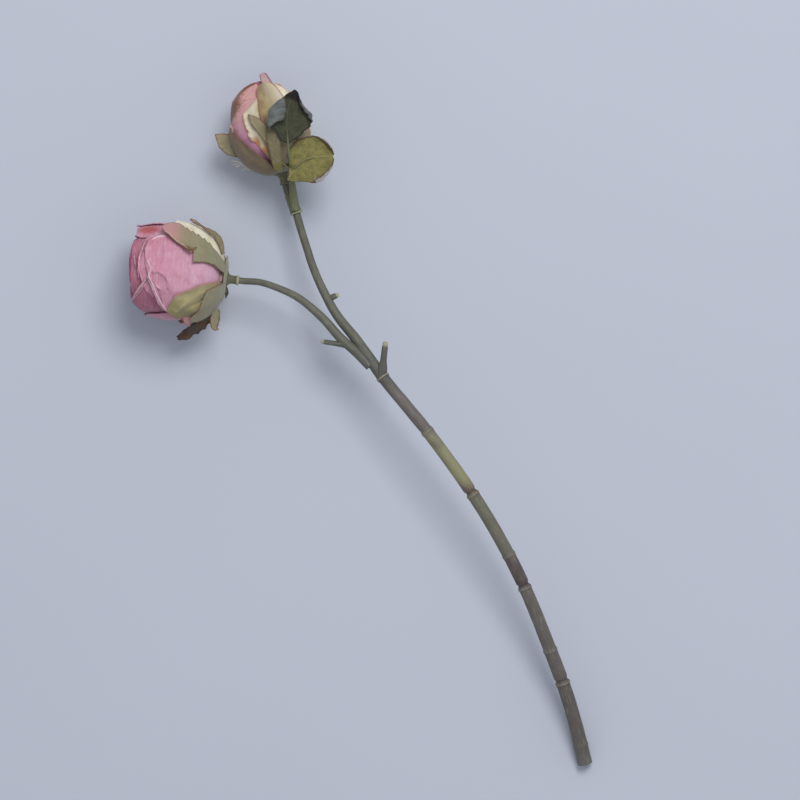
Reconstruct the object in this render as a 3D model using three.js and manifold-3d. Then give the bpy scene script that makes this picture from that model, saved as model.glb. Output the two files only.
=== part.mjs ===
import * as THREE from 'three';
import { mergeVertices } from 'three/addons/utils/BufferGeometryUtils.js';
import Module from 'manifold-3d';

const wasm = await Module();
wasm.setup();

// A two-headed artificial rosebud sprig lying on a table. Millimetres, X across the sprig,
// Y along it from the cut end to the small bud, Z up from the table.

const WIRE_RADIUS = 0.8;
const BORE_RADIUS = 1.15;
const SLIP_GAP = 0.35;
const CANE_SIDES = 10;
const BRANCH_SIDES = 8;
const WIRE_SIDES = 6;
const RING_PITCH = 10.5;
const BORE_PITCH = 11.5;
const STALK_PITCH = 4.5;
const CLEARANCE_PITCH = 3;
const JOINT_CLEARING = 2.5;
const BORE_OVERRUN = 4;
const PETAL_THICKNESS = 0.95;
const SEPAL_THICKNESS = 0.9;
const LEAF_THICKNESS = 0.8;
const CORE_INSET = 2.0;
const ROOT_SINK = 0.6;
const GUARD_INNER = 0.8;
const GUARD_OUTER = 1.95;
const GUARD_BLADE = 1.75;
const CALYX_INNER = 2.6;
const CALYX_OUTER = 3.8;
const SEPAL_BLADE = 3.65;
const GUARD_CUP_TOP = -0.2;
const CALYX_CUP_TOP = -1.6;
const GUARD_FOOT = -1.2;
const SEPAL_FOOT = -2.5;
const NECK_LENGTH = 8.5;
const NECK_WALL = 0.85;
const NECK_RING = 0.45;
const SOCKET_DEPTH = 4.6;
const STRAIGHT_RUN = 3;
const WIRE_IN_BUD = 11;
const LATHE_SEGMENTS = 16;
const TABLE_SPAN = 600;
const TABLE_DEPTH = 10;
const WELD = 1e-4;

// How a blade is shaped: shares of its length or width unless a unit is given.
const CLAW_SHARE = 0.55;
const INNER_CLAW_SHARE = 0.9;
const CLAW_REACH = 0.6;
const CROWN_ROUNDING = 0.2;
const FRILL_WAVES = 7;
const FREE_FROM = 0.5;
const FREE_BY = 0.78;
const PETAL_FOOT = 0.3;
const PETAL_STEPS = 6;
const WIDE_PETAL = 50;
const WHORL_STEPS = 3;
const WHORL_FRILL = 0.5;
const WHORL_DROP = 0.8;
const GUARD_CLAW = 0.75;
const GUARD_TAPER = 0.25;
const BLADE_EASE = 1.25;
const SEPAL_WAIST = 0.8;
const SEPAL_SWELL = 0.35;
const SEPAL_TAPER_POWER = 1.6;
const PEEL_POWER = 2.4;
const NARROW_SEPAL = 14;
const BLADE_STEPS = 5;
const LEAST_RADIUS = 0.6;
const HUB_RADIUS = 1.9;
const BLADE_FOOT_RADIUS = 2.15;
const LEAF_TIP_SHARE = 0.06;
const LEAF_FULLNESS = 0.75;

// The moulded cane and the branch to the small bud, from the cut end up.
const CANE_SPINE = [
  [112.4, -172.6, 3.2],
  [107.75, -153.75, 8.2],
  [102.25, -135.75, 13.2],
  [93.25, -111.75, 19.6],
  [83.5, -87.75, 25.4],
  [71.75, -63.75, 30.4],
  [57.5, -39.75, 34.0],
  [36.25, -9.75, 36.0],
  [21.75, 8.25, 35.6],
  [11.75, 20.25, 34.6],
  [-2.5, 40.25, 30.8],
  [-12.0, 52.25, 28.0],
  [-18.75, 64.25, 25.4],
  [-24.0, 76.25, 23.2],
  [-28.0, 88.25, 21.6],
  [-30.75, 97.25, 20.6],
  [-32.6, 103.8, 20.3],
  [-34.8, 109.6, 20.2],
];

// Thickness of the cane at stations along it, as height up the sprig and radius.
const CANE_GIRTH = [
  [-173, 3.7],
  [-136, 3.4],
  [-88, 3.2],
  [-40, 3.15],
  [8, 2.95],
  [24, 2.9],
  [42, 2.5],
  [56, 2.25],
  [76, 2.0],
  [125, 1.95],
];

// Moulded joints: height up the sprig, swell on the rim and pinch beside it.
const CANE_JOINTS = [
  { y: -163.2, rim: 0.18, pinch: 0.0 },
  { y: -131.5, rim: 0.4, pinch: 0.55 },
  { y: -115.0, rim: 0.3, pinch: 0.0 },
  { y: -83.4, rim: 0.35, pinch: 0.6 },
  { y: -67.0, rim: 0.28, pinch: 0.0 },
  { y: -36.8, rim: 0.35, pinch: 0.6 },
  { y: -5.4, rim: 0.3, pinch: 0.1 },
  { y: 21.6, rim: 0.45, pinch: 0.0 },
];
const JOINT_REACH = 1.6;

const BRANCH_SPINE = [
  [4.4, 27.0, 33.2],
  [-2.75, 34.25, 32.6],
  [-10.75, 41.5, 32.0],
  [-18.75, 50.5, 31.2],
  [-30.75, 60.75, 29.4],
  [-38.75, 64.9, 28.3],
  [-50.5, 69.0, 26.5],
];
const BRANCH_GIRTH = [
  [-70, 1.6],
  [-55, 1.62],
  [-38, 1.75],
  [-22, 2.1],
  [-6, 2.4],
  [6, 2.5],
];

// Cut-off side twigs, as a foot, a tip and radii along the way.
const TWIGS = [
  { foot: [-7.4, 37.6, 32.0], tip: [-19.8, 39.4, 31.4], radii: [1.7, 1.5, 1.3, 1.2, 1.25, 0.9] },
  { foot: [10.0, 20.6, 34.6], tip: [12.0, 38.8, 38.6], radii: [2.5, 2.5, 2.3, 1.6, 1.5, 1.5, 1.1] },
  { foot: [-16.9, 60.6, 26.2], tip: [-11.9, 62.6, 27.6], radii: [1.6, 1.5, 1.5, 1.1] },
];
const TWIG_SIDES = 7;

// Buds: seat of the petals, heading of the axis in plan, and the swelling outline.
const LARGE_BUD = {
  seat: [-69.7, 71.0, 25.9],
  heading: 173,
  girth: 24.5,
  belly: 24,
  cup: 2.2,
  length: 46,
  mouth: 20.5,
  close: 2.2,
  domeFrom: 30,
  domeTo: 38,
  domePower: 0.5,
  stalk: 1.6,
};
const SMALL_BUD = {
  seat: [-40.1, 126.5, 20.2],
  heading: 105,
  girth: 18.8,
  belly: 20,
  cup: 2.0,
  length: 45,
  mouth: 6,
  close: 2.0,
  domeFrom: 28,
  domeTo: 46,
  domePower: 1.0,
  stalk: 1.95,
};

const LARGE_PETALS = [
  { turn: -2, spread: 56, crown: 35.5, slant: 5, lift: 0, lip: 0.9, frill: 0.5 },
  { turn: -44, spread: 42, crown: 43, slant: -1, lift: -1.3, lip: 0.5, frill: 0.6 },
  { turn: 62, spread: 36, crown: 44, slant: 0, lift: -1.0, lip: 1.1, frill: 0.7 },
  { turn: -98, spread: 42, crown: 39, slant: 1, lift: -0.5, lip: 0.6, frill: 0.5 },
  { turn: 135, spread: 46, crown: 41, slant: 2, lift: -0.3, lip: 0.8, frill: 0.5 },
  { turn: 195, spread: 48, crown: 40, slant: -2, lift: -0.8, lip: 0.6, frill: 0.5 },
];
const SMALL_PETALS = [
  { turn: -52, spread: 46, crown: 43, slant: 2, lift: 0, lip: 0, frill: 0.4 },
  { turn: -120, spread: 46, crown: 40, slant: 0, lift: -0.7, lip: 0.3, frill: 0.5 },
  { turn: 35, spread: 52, crown: 44, slant: 0, lift: -1.0, lip: 0, frill: 0.3 },
  { turn: 110, spread: 48, crown: 41, slant: 1, lift: -0.3, lip: 0.3, frill: 0.5 },
  { turn: 180, spread: 46, crown: 40, slant: -1, lift: -1.3, lip: 0.3, frill: 0.5 },
];

// Rings of petals further in, each a share of the outline's radius.
const LARGE_WHORLS = [
  { share: 0.86, count: 5, turn: 20, spread: 46, crown: 45.6, foot: 24 },
  { share: 0.62, count: 4, turn: 50, spread: 56, crown: 44.4, foot: 24 },
  { share: 0.36, count: 3, turn: 10, spread: 72, crown: 42.6, foot: 24 },
];
const SMALL_WHORLS = [
  { share: 0.6, count: 4, turn: -20, spread: 56, crown: 45.6, foot: 26 },
  { share: 0.34, count: 3, turn: 15, spread: 70, crown: 47.0, foot: 30 },
];
const WHORL_STAGGER = [0, -0.9, -0.45, -1.35, -0.7];

const LARGE_GUARDS = [
  { turn: 74, spread: 26, crown: 25, slant: 0, round: 0.45, sink: -0.3 },
  { turn: -42, spread: 25, crown: 25, slant: -2, round: 0.35, sink: 0 },
  { turn: 180, spread: 42, crown: 33, slant: 0, round: 0.35, sink: 0 },
  { turn: 124, spread: 28, crown: 31, slant: 2, round: 0.5, sink: 0.3 },
  { turn: -108, spread: 32, crown: 28, slant: 0, round: 0.45, sink: 0.3 },
  { turn: -76, spread: 13, crown: 19.5, slant: 0, round: 0.6, sink: 0.15 },
];
const SMALL_GUARDS = [
  { turn: 15, spread: 26, crown: 44.5, slant: 0, round: 0.2, sink: 0 },
  { turn: -20, spread: 19, crown: 35, slant: 0, round: 0.3, sink: 0.3 },
  { turn: 64, spread: 32, crown: 36, slant: -2, round: 0.3, sink: 0.3 },
  { turn: 180, spread: 44, crown: 31, slant: 0, round: 0.4, sink: 0 },
  { turn: -122, spread: 28, crown: 28, slant: 0, round: 0.5, sink: 0.3 },
  { turn: 116, spread: 26, crown: 30, slant: 0, round: 0.5, sink: 0.15 },
];

const LARGE_SEPALS = [
  { turn: 23, lean: 28, spread: 20, crown: 29.5, peel: 0.3, twist: 0, point: 0.6, sink: 0 },
  { turn: 74, lean: 12, spread: 12, crown: 21, peel: 3.2, twist: 1, point: 0.86, sink: 0.2 },
  { turn: -46, lean: -8, spread: 28, crown: 13, peel: 0.5, twist: 0, point: 0.72, sink: 0 },
  { turn: -97, lean: -4, spread: 17, crown: 26, peel: 6.0, twist: -3.2, point: 0.8, sink: 0 },
  { turn: -84, lean: 0, spread: 9, crown: 7.5, peel: 3.0, twist: -1, point: 0.8, sink: 0.2 },
  { turn: 146, lean: 0, spread: 20, crown: 22, peel: 0.8, twist: 0, point: 0.85, sink: 0 },
];
const SMALL_SEPALS = [
  { turn: -56, lean: -5, spread: 34, crown: 25.5, peel: 0.6, twist: 0, point: 0.62, sink: 0 },
  { turn: -99, lean: 2, spread: 22, crown: 24, peel: 5.5, twist: -4.5, point: 0.7, sink: 0.2 },
  { turn: -8, lean: -17, spread: 12, crown: 28.8, peel: 0.2, twist: 0, point: 0.86, sink: 0.2 },
  { turn: 98, lean: 0, spread: 20, crown: 20, peel: 1.5, twist: 0, point: 0.85, sink: 0 },
  { turn: 146, lean: 0, spread: 16, crown: 19, peel: 0.6, twist: 0, point: 0.85, sink: 0 },
];

// The compound leaf: its sheath round the branch, the stalk and three leaflets.
const SHEATH_FROM = 103.2;
const SHEATH_TO = 109.4;
const SHEATH_WALL = 0.8;
const SHEATH_RIM = 0.35;
const SHEATH_ROOM = 0.015;
const LEAF_STALK = [
  [-33.2, 105.6, 22.2],
  [-34.0, 112.0, 25.0],
  [-34.5, 118.5, 29.6],
  [-34.75, 124.0, 35.2],
];
const LEAFLET_STALKS = [
  [[-34.75, 124.0, 35.2], [-35.4, 129.6, 41.2], [-35.8, 136.0, 44.8]],
  [[-34.75, 124.0, 35.2], [-32.6, 126.2, 36.6]],
  [[-34.75, 124.0, 35.2], [-37.5, 126.4, 39.0], [-39.6, 128.2, 42.2]],
];
const STALK_RADII = [1.9, 1.05];
const LEAFLET_STALK_RADIUS = 0.7;
const STALK_SIDES = 6;
const WIRE_START = 0.012;
const BRANCH_WIRE_START = 0.1;

const DARK_LEAF = {
  rib: [[-35.9, 136.9, 45.4], [-36.8, 146.0, 47.0], [-35.6, 155.5, 47.0], [-32.4, 163.6, 47.6]],
  face: [0.22, -0.1, 0.97],
  half: 11.5,
  cup: 0.22,
  bulge: 0.8,
  teeth: 0.05,
};
const ROUND_LEAF = {
  rib: [[-31.4, 127.4, 37.0], [-28.2, 130.0, 37.2], [-21.5, 131.6, 36.2], [-14.4, 132.4, 33.8]],
  face: [0.14, 0.02, 0.97],
  half: 11.6,
  cup: 0.16,
  bulge: 0.72,
  teeth: 0.05,
};
const NARROW_LEAF = {
  rib: [[-40.0, 128.8, 42.4], [-41.8, 134.0, 43.3], [-43.0, 140.5, 43.1], [-43.8, 147.0, 42.4]],
  face: [-0.5, 0.0, 0.87],
  half: 4.2,
  cup: 0.2,
  bulge: 0.8,
  teeth: 0.08,
};
const LEAF_STEPS_ALONG = 16;
const LEAF_STEPS_ACROSS = 4;

const COLOURS = {
  stem: 0x62614c,
  wire: 0x9c9b97,
  stalk: 0x7f8a63,
  pink: 0xc47a92,
  cream: 0xd8cd9d,
  olive: 0x97906c,
  darkLeaf: 0x3c4438,
  roundLeaf: 0x7c7a36,
  narrowLeaf: 0x8e8960,
};

const clamp = THREE.MathUtils.clamp;
const lerp = THREE.MathUtils.lerp;
const smooth = THREE.MathUtils.smoothstep;
const radians = THREE.MathUtils.degToRad;

function vector(point) {
  return new THREE.Vector3(...point);
}

function curveThrough(points) {
  return new THREE.CatmullRomCurve3(points.map(vector), false, 'centripetal');
}

// Straight-line reading of a table of [station, value] pairs.
function readTable(table, station) {
  const last = table.length - 1;
  if (station <= table[0][0]) return table[0][1];
  for (let i = 0; i < last; i += 1) {
    const [from, low] = table[i];
    const [to, high] = table[i + 1];
    if (station <= to) return lerp(low, high, (station - from) / (to - from));
  }
  return table[last][1];
}

function enclosedVolume(positions, triangles) {
  const corner = (i) => new THREE.Vector3().fromArray(positions, 3 * i);
  let volume = 0;
  for (let i = 0; i < triangles.length; i += 3) {
    const a = corner(triangles[i]);
    const b = corner(triangles[i + 1]);
    const c = corner(triangles[i + 2]);
    volume += a.dot(b.cross(c)) / 6;
  }
  return volume;
}

// Faces are turned outward by the sign of the enclosed volume.
function closedGeometry(positions, triangles) {
  if (enclosedVolume(positions, triangles) < 0) triangles.reverse();
  const geometry = new THREE.BufferGeometry();
  geometry.setAttribute('position', new THREE.Float32BufferAttribute(positions, 3));
  geometry.setIndex(triangles);
  return geometry;
}

function toSolid(geometry) {
  const bare = geometry.clone();
  bare.deleteAttribute('normal');
  bare.deleteAttribute('uv');
  const merged = mergeVertices(bare, WELD);
  const mesh = new wasm.Mesh({
    numProp: 3,
    vertProperties: new Float32Array(merged.attributes.position.array),
    triVerts: new Uint32Array(merged.index.array),
  });
  return new wasm.Manifold(mesh);
}

// Surfaces of one body, as lists of corners, sorted by which triangles share a corner.
function separateSurfaces(triangles, corners) {
  const leader = Array.from({ length: corners }, (_, i) => i);
  const find = (i) => {
    let at = i;
    while (leader[at] !== at) at = leader[at];
    leader[i] = at;
    return at;
  };
  for (let i = 0; i < triangles.length; i += 3) {
    leader[find(triangles[i + 1])] = find(triangles[i]);
    leader[find(triangles[i + 2])] = find(triangles[i]);
  }
  const surfaces = new Map();
  for (let i = 0; i < triangles.length; i += 3) {
    const key = find(triangles[i]);
    if (!surfaces.has(key)) surfaces.set(key, []);
    surfaces.get(key).push(...triangles.slice(i, i + 3));
  }
  return [...surfaces.values()];
}

// Hollows that joining has shut in are filled by leaving out their inward-facing walls.
function toGeometry(solid) {
  const mesh = solid.getMesh();
  const positions = Array.from(mesh.vertProperties);
  const surfaces = separateSurfaces(Array.from(mesh.triVerts), positions.length / 3);
  const outside = surfaces.filter((surface) => enclosedVolume(positions, surface) > 0);
  const geometry = new THREE.BufferGeometry();
  geometry.setAttribute('position', new THREE.Float32BufferAttribute(positions, 3));
  geometry.setIndex(outside.flat());
  geometry.computeVertexNormals();
  return geometry;
}

function joined(solids) {
  return solids.reduce((whole, piece) => whole.add(piece));
}

// A blade between two faces over the same grid, both split along the same diagonals.
function blade(along, across, pointAt) {
  const positions = [];
  const triangles = [];
  const row = across + 1;
  const layer = (along + 1) * row;
  for (const face of [1, 0]) {
    for (let i = 0; i <= along; i += 1) {
      for (let j = 0; j <= across; j += 1) {
        positions.push(...pointAt(i / along, (2 * j) / across - 1, face, i));
      }
    }
  }
  for (let i = 0; i < along; i += 1) {
    for (let j = 0; j < across; j += 1) {
      const a = i * row + j;
      const b = a + 1;
      const c = a + row;
      const d = c + 1;
      triangles.push(a, c, b, b, c, d);
      triangles.push(layer + a, layer + b, layer + c, layer + b, layer + d, layer + c);
    }
  }
  const rim = [];
  for (let j = 0; j < across; j += 1) rim.push(j);
  for (let i = 0; i < along; i += 1) rim.push(i * row + across);
  for (let j = across; j > 0; j -= 1) rim.push(along * row + j);
  for (let i = along; i > 0; i -= 1) rim.push(i * row);
  rim.forEach((from, k) => {
    const to = rim[(k + 1) % rim.length];
    triangles.push(from, to, layer + from, to, layer + to, layer + from);
  });
  return closedGeometry(positions, triangles);
}

// A round rod along a curve, with its own radius at each station.
function rod(curve, stations, radiusAt, sides) {
  const positions = [];
  const triangles = [];
  const up = new THREE.Vector3(0, 0, 1);
  stations.forEach((t) => {
    const centre = curve.getPointAt(t);
    const ahead = curve.getTangentAt(t);
    const side = new THREE.Vector3().crossVectors(ahead, up).normalize();
    const over = new THREE.Vector3().crossVectors(side, ahead);
    const radius = radiusAt(centre, t);
    for (let k = 0; k < sides; k += 1) {
      const angle = (2 * Math.PI * k) / sides;
      const spot = centre.clone();
      spot.addScaledVector(side, radius * Math.cos(angle));
      spot.addScaledVector(over, radius * Math.sin(angle));
      positions.push(spot.x, spot.y, spot.z);
    }
  });
  const rings = stations.length;
  for (let i = 0; i < rings - 1; i += 1) {
    for (let k = 0; k < sides; k += 1) {
      const a = i * sides + k;
      const b = i * sides + ((k + 1) % sides);
      triangles.push(a, b, a + sides, b, b + sides, a + sides);
    }
  }
  for (let k = 1; k < sides - 1; k += 1) {
    const top = (rings - 1) * sides;
    triangles.push(0, k + 1, k);
    triangles.push(top, top + k, top + k + 1);
  }
  return closedGeometry(positions, triangles);
}

function evenStations(curve, pitch, from = 0, to = 1) {
  const steps = Math.max(2, Math.ceil(((to - from) * curve.getLength()) / pitch));
  return Array.from({ length: steps + 1 }, (_, i) => lerp(from, to, i / steps));
}

// Where along a curve that climbs in Y a given height is reached.
function stationAtHeight(curve, y) {
  let low = 0;
  let high = 1;
  for (let i = 0; i < 40; i += 1) {
    const middle = (low + high) / 2;
    if (curve.getPointAt(middle).y < y) low = middle;
    else high = middle;
  }
  return (low + high) / 2;
}

function turnedSolid(profile) {
  const points = profile.map(([radius, height]) => new THREE.Vector2(radius, height));
  const turned = mergeVertices(stripped(new THREE.LatheGeometry(points, LATHE_SEGMENTS)), WELD);
  turned.rotateX(Math.PI / 2);
  const kept = [];
  const index = Array.from(turned.index.array);
  for (let i = 0; i < index.length; i += 3) {
    const [a, b, c] = index.slice(i, i + 3);
    if (a !== b && b !== c && c !== a) kept.push(a, b, c);
  }
  return toSolid(closedGeometry(Array.from(turned.attributes.position.array), kept));
}

function stripped(geometry) {
  geometry.deleteAttribute('normal');
  geometry.deleteAttribute('uv');
  return geometry;
}

function axisOf(bud) {
  const heading = radians(bud.heading);
  return new THREE.Vector3(Math.cos(heading), Math.sin(heading), 0);
}

function alongAxis(bud, distance) {
  return vector(bud.seat).addScaledVector(axisOf(bud), distance).toArray();
}

// Outline radius: a rounded cup up to the belly, then drawing in to the mouth.
function outline(bud, height) {
  if (height <= 0) return 0;
  if (height < bud.belly) {
    return bud.girth * (1 - (1 - height / bud.belly) ** bud.cup) ** (1 / bud.cup);
  }
  const fall = (height - bud.belly) / (bud.length - bud.belly);
  return Math.max(LEAST_RADIUS, bud.girth - (bud.girth - bud.mouth) * fall ** bud.close);
}

// The outline grown by a lift, which also drops the foot by as much.
function shell(bud, height, lift) {
  const drop = lift * Math.max(0, 1 - height / bud.belly);
  return outline(bud, height + drop) + lift;
}

function budPoint(turn, height, radius) {
  const angle = radians(turn);
  return [radius * Math.cos(angle), radius * Math.sin(angle), height];
}

// A broad petal that widens from a claw to a rounded, slightly frilled crown.
function petalSolid(bud, petal, along, across) {
  const { turn, spread, crown, lift, share = 1, foot = PETAL_FOOT } = petal;
  const { slant = 0, lip = 0, frill = 0 } = petal;
  const claw = share === 1 ? CLAW_SHARE : INNER_CLAW_SHARE;
  const geometry = blade(along, across, (u, v, face) => {
    const width = claw + (1 - claw) * Math.sin((Math.min(1, u / CLAW_REACH) * Math.PI) / 2);
    const angle = turn + spread * width * v;
    const reach = u * (1 - CROWN_ROUNDING * u * u * Math.abs(v) ** 2.5);
    const ragged = frill * Math.sin(FRILL_WAVES * v + turn) * u ** 6;
    const height = foot + (crown - foot) * reach + slant * v * u + ragged;
    const outer = share * outline(bud, height) + lift + lip * u ** 8;
    if (face) return budPoint(angle, height, outer);
    const free = outer - PETAL_THICKNESS;
    if (share < 1) return budPoint(angle, height, Math.max(LEAST_RADIUS, free));
    const root = Math.max(HUB_RADIUS, outline(bud, height) - CORE_INSET - ROOT_SINK);
    const thin = smooth(u, FREE_FROM, FREE_BY);
    return budPoint(angle, height, lerp(Math.min(root, free), free, thin));
  });
  return toSolid(geometry);
}

function budCore(bud) {
  const profile = [[0, WIRE_IN_BUD], [BORE_RADIUS, WIRE_IN_BUD], [BORE_RADIUS, 0]];
  const heights = [0, 0.6, 2, 4.5, 8.5, 14, 20, bud.domeFrom];
  heights.forEach((height) => {
    profile.push([Math.max(HUB_RADIUS, outline(bud, height) - CORE_INSET), height]);
  });
  const shoulder = outline(bud, bud.domeFrom) - CORE_INSET;
  [0.35, 0.65, 0.88].forEach((rise) => {
    const height = lerp(bud.domeFrom, bud.domeTo, rise);
    profile.push([shoulder * (1 - rise * rise) ** bud.domePower, height]);
  });
  profile.push([0, bud.domeTo]);
  return turnedSolid(profile);
}

function wireHole(from, to) {
  return turnedSolid([[0, from], [BORE_RADIUS, from], [BORE_RADIUS, to], [0, to]]);
}

// All petals of one bud's coloured heart, seated on the core.
function heartOf(bud, petals, whorls) {
  const solids = [budCore(bud)];
  petals.forEach((petal) => {
    solids.push(petalSolid(bud, petal, PETAL_STEPS, petal.spread > WIDE_PETAL ? 6 : 4));
  });
  whorls.forEach((whorl) => {
    for (let k = 0; k < whorl.count; k += 1) {
      const petal = {
        ...whorl,
        turn: whorl.turn + (360 / whorl.count) * k,
        crown: whorl.crown - WHORL_DROP * (k % 3),
        lift: WHORL_STAGGER[k],
        frill: WHORL_FRILL,
      };
      solids.push(petalSolid(bud, petal, WHORL_STEPS, 4));
    }
  });
  return joined(solids).subtract(wireHole(-3, WIRE_IN_BUD));
}

function cupSolid(bud, inner, outer, top) {
  const profile = [[BORE_RADIUS, -outer], [BORE_RADIUS, -inner]];
  const widerThanBore = (radius) => Math.max(radius, BORE_RADIUS + 0.25);
  [0, 0.06, 0.2, 0.5, 1].forEach((rise) => {
    const level = lerp(-inner, top, rise);
    profile.push([widerThanBore(shell(bud, level, inner)), level]);
  });
  [1, 0.5, 0.15, 0].forEach((rise) => {
    const level = lerp(-outer, top, rise);
    profile.push([widerThanBore(shell(bud, level, outer)), level]);
  });
  profile.push([BORE_RADIUS, -outer]);
  return turnedSolid(profile);
}

// Pale outer petals on a thin cup. The lowest ones are pressed flat where the bud lies on the table.
function guardsOf(bud, guards) {
  const solids = [cupSolid(bud, GUARD_INNER, GUARD_OUTER, GUARD_CUP_TOP)];
  guards.forEach(({ turn, spread, crown, slant, round, sink }) => {
    const geometry = blade(BLADE_STEPS, 4, (u, v, face) => {
      const open = Math.sin((Math.min(1, 2 * u) * Math.PI) / 2);
      const width = lerp(GUARD_CLAW, 1, open) * (1 - GUARD_TAPER * u ** 4);
      const reach = u ** BLADE_EASE * (1 - round * u * u * v * v);
      const height = GUARD_FOOT + (crown - GUARD_FOOT) * reach + slant * v * u;
      const lift = face ? GUARD_BLADE - sink : GUARD_INNER + 0.2 - 0.5 * sink;
      const radius = Math.max(BLADE_FOOT_RADIUS, shell(bud, height, lift));
      return budPoint(turn + spread * width * v, height, radius);
    });
    solids.push(toSolid(geometry));
  });
  const table = new THREE.BoxGeometry(bud.girth, 4 * bud.girth, 4 * bud.length);
  table.translate(-bud.seat[2] - bud.girth / 2, 0, 0);
  return joined(solids).subtract(toSolid(table));
}

// The green cup with its neck, into which the branch is plugged, and pointed sepals.
function calyxOf(bud, sepals) {
  const socket = bud.stalk + SLIP_GAP;
  const neck = socket + NECK_WALL;
  const floor = -NECK_LENGTH + SOCKET_DEPTH;
  const profile = [
    [socket, -NECK_LENGTH],
    [neck, -NECK_LENGTH],
    [neck + NECK_RING, -NECK_LENGTH + 0.3],
    [neck + NECK_RING, -NECK_LENGTH + 1.0],
    [neck, -NECK_LENGTH + 1.4],
    [neck, -CALYX_OUTER - 0.5],
    [neck + 0.6, -CALYX_OUTER + 0.4],
    [BORE_RADIUS, -CALYX_OUTER + 0.7],
    [BORE_RADIUS, floor],
    [socket, floor],
    [socket, -NECK_LENGTH],
  ];
  const cup = cupSolid(bud, CALYX_INNER, CALYX_OUTER, CALYX_CUP_TOP);
  const solids = [cup, turnedSolid(profile)];
  sepals.forEach(({ turn, lean, spread, crown, peel, twist, point, sink }) => {
    const across = spread > NARROW_SEPAL ? 4 : 2;
    const geometry = blade(BLADE_STEPS, across, (u, v, face) => {
      const swell = SEPAL_WAIST + SEPAL_SWELL * Math.sin(Math.PI * Math.min(1, 1.2 * u));
      const width = (1 - point * u ** SEPAL_TAPER_POWER) * swell;
      const height = SEPAL_FOOT + (crown - SEPAL_FOOT) * u ** BLADE_EASE;
      const bend = peel * u ** PEEL_POWER + twist * v * Math.sin(Math.PI * u ** 1.4);
      const outer = shell(bud, height, SEPAL_BLADE - sink) + bend;
      const inner = Math.max(BLADE_FOOT_RADIUS, outer - SEPAL_THICKNESS);
      return budPoint(turn + lean * u + spread * width * v, height, face ? outer : inner);
    });
    solids.push(toSolid(geometry));
  });
  return joined(solids);
}

// A leaflet bent along its midrib, cupped and toothed.
function leafSolid({ rib, face, half, cup, bulge, teeth }) {
  const curve = curveThrough(rib);
  const facing = vector(face).normalize();
  const geometry = blade(LEAF_STEPS_ALONG, LEAF_STEPS_ACROSS, (u, v, side, step) => {
    const centre = curve.getPointAt(u);
    const ahead = curve.getTangentAt(u);
    const across = new THREE.Vector3().crossVectors(ahead, facing).normalize();
    const over = new THREE.Vector3().crossVectors(across, ahead);
    const full = Math.sin(Math.PI * clamp(u, 0, 1) ** bulge) ** LEAF_FULLNESS;
    const swell = LEAF_TIP_SHARE + (1 - LEAF_TIP_SHARE) * full;
    const notch = step % 2 ? 1 : 1 - teeth;
    const width = half * swell * notch * v;
    const rise = cup * half * swell * v * v + (side - 0.5) * LEAF_THICKNESS;
    centre.addScaledVector(across, width);
    centre.addScaledVector(over, rise);
    return centre.toArray();
  });
  return toSolid(geometry);
}

function rodAlong(points, radius, sides, pitch) {
  const curve = curveThrough(points);
  return toSolid(rod(curve, evenStations(curve, pitch), () => radius, sides));
}

const caneCurve = curveThrough([
  ...CANE_SPINE,
  alongAxis(SMALL_BUD, -NECK_LENGTH - STRAIGHT_RUN),
  alongAxis(SMALL_BUD, -NECK_LENGTH),
  alongAxis(SMALL_BUD, -NECK_LENGTH + SOCKET_DEPTH - SLIP_GAP),
]);
const branchCurve = curveThrough([
  ...BRANCH_SPINE,
  alongAxis(LARGE_BUD, -NECK_LENGTH - STRAIGHT_RUN),
  alongAxis(LARGE_BUD, -NECK_LENGTH),
  alongAxis(LARGE_BUD, -NECK_LENGTH + SOCKET_DEPTH - SLIP_GAP),
]);

function caneRadius(centre) {
  let radius = readTable(CANE_GIRTH, centre.y);
  CANE_JOINTS.forEach(({ y, rim, pinch }) => {
    const off = (centre.y - y) / JOINT_REACH;
    radius += rim * Math.exp(-4 * off * off);
    radius -= pinch * Math.exp(-4 * (off - 1) ** 2);
  });
  return radius;
}

function caneStations() {
  const stations = evenStations(caneCurve, RING_PITCH);
  CANE_JOINTS.forEach(({ y, pinch }) => {
    const offsets = pinch ? [-0.9, 0, 0.5, 1, 1.9] : [-0.7, 0, 0.7];
    const spots = offsets.map((off) => stationAtHeight(caneCurve, y + off * JOINT_REACH));
    const first = spots[0];
    const last = spots[spots.length - 1];
    for (let i = stations.length - 1; i >= 0; i -= 1) {
      const near = JOINT_CLEARING / caneCurve.getLength();
      if (stations[i] > first - near && stations[i] < last + near) stations.splice(i, 1);
    }
    stations.push(...spots);
  });
  return stations.sort((a, b) => a - b);
}

function twigSolid({ foot, tip, radii }) {
  const curve = new THREE.LineCurve3(vector(foot), vector(tip));
  const last = radii.length - 1;
  const stations = radii.map((_, i) => i / last);
  return toSolid(rod(curve, stations, (_, t) => radii[Math.round(t * last)], TWIG_SIDES));
}

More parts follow.
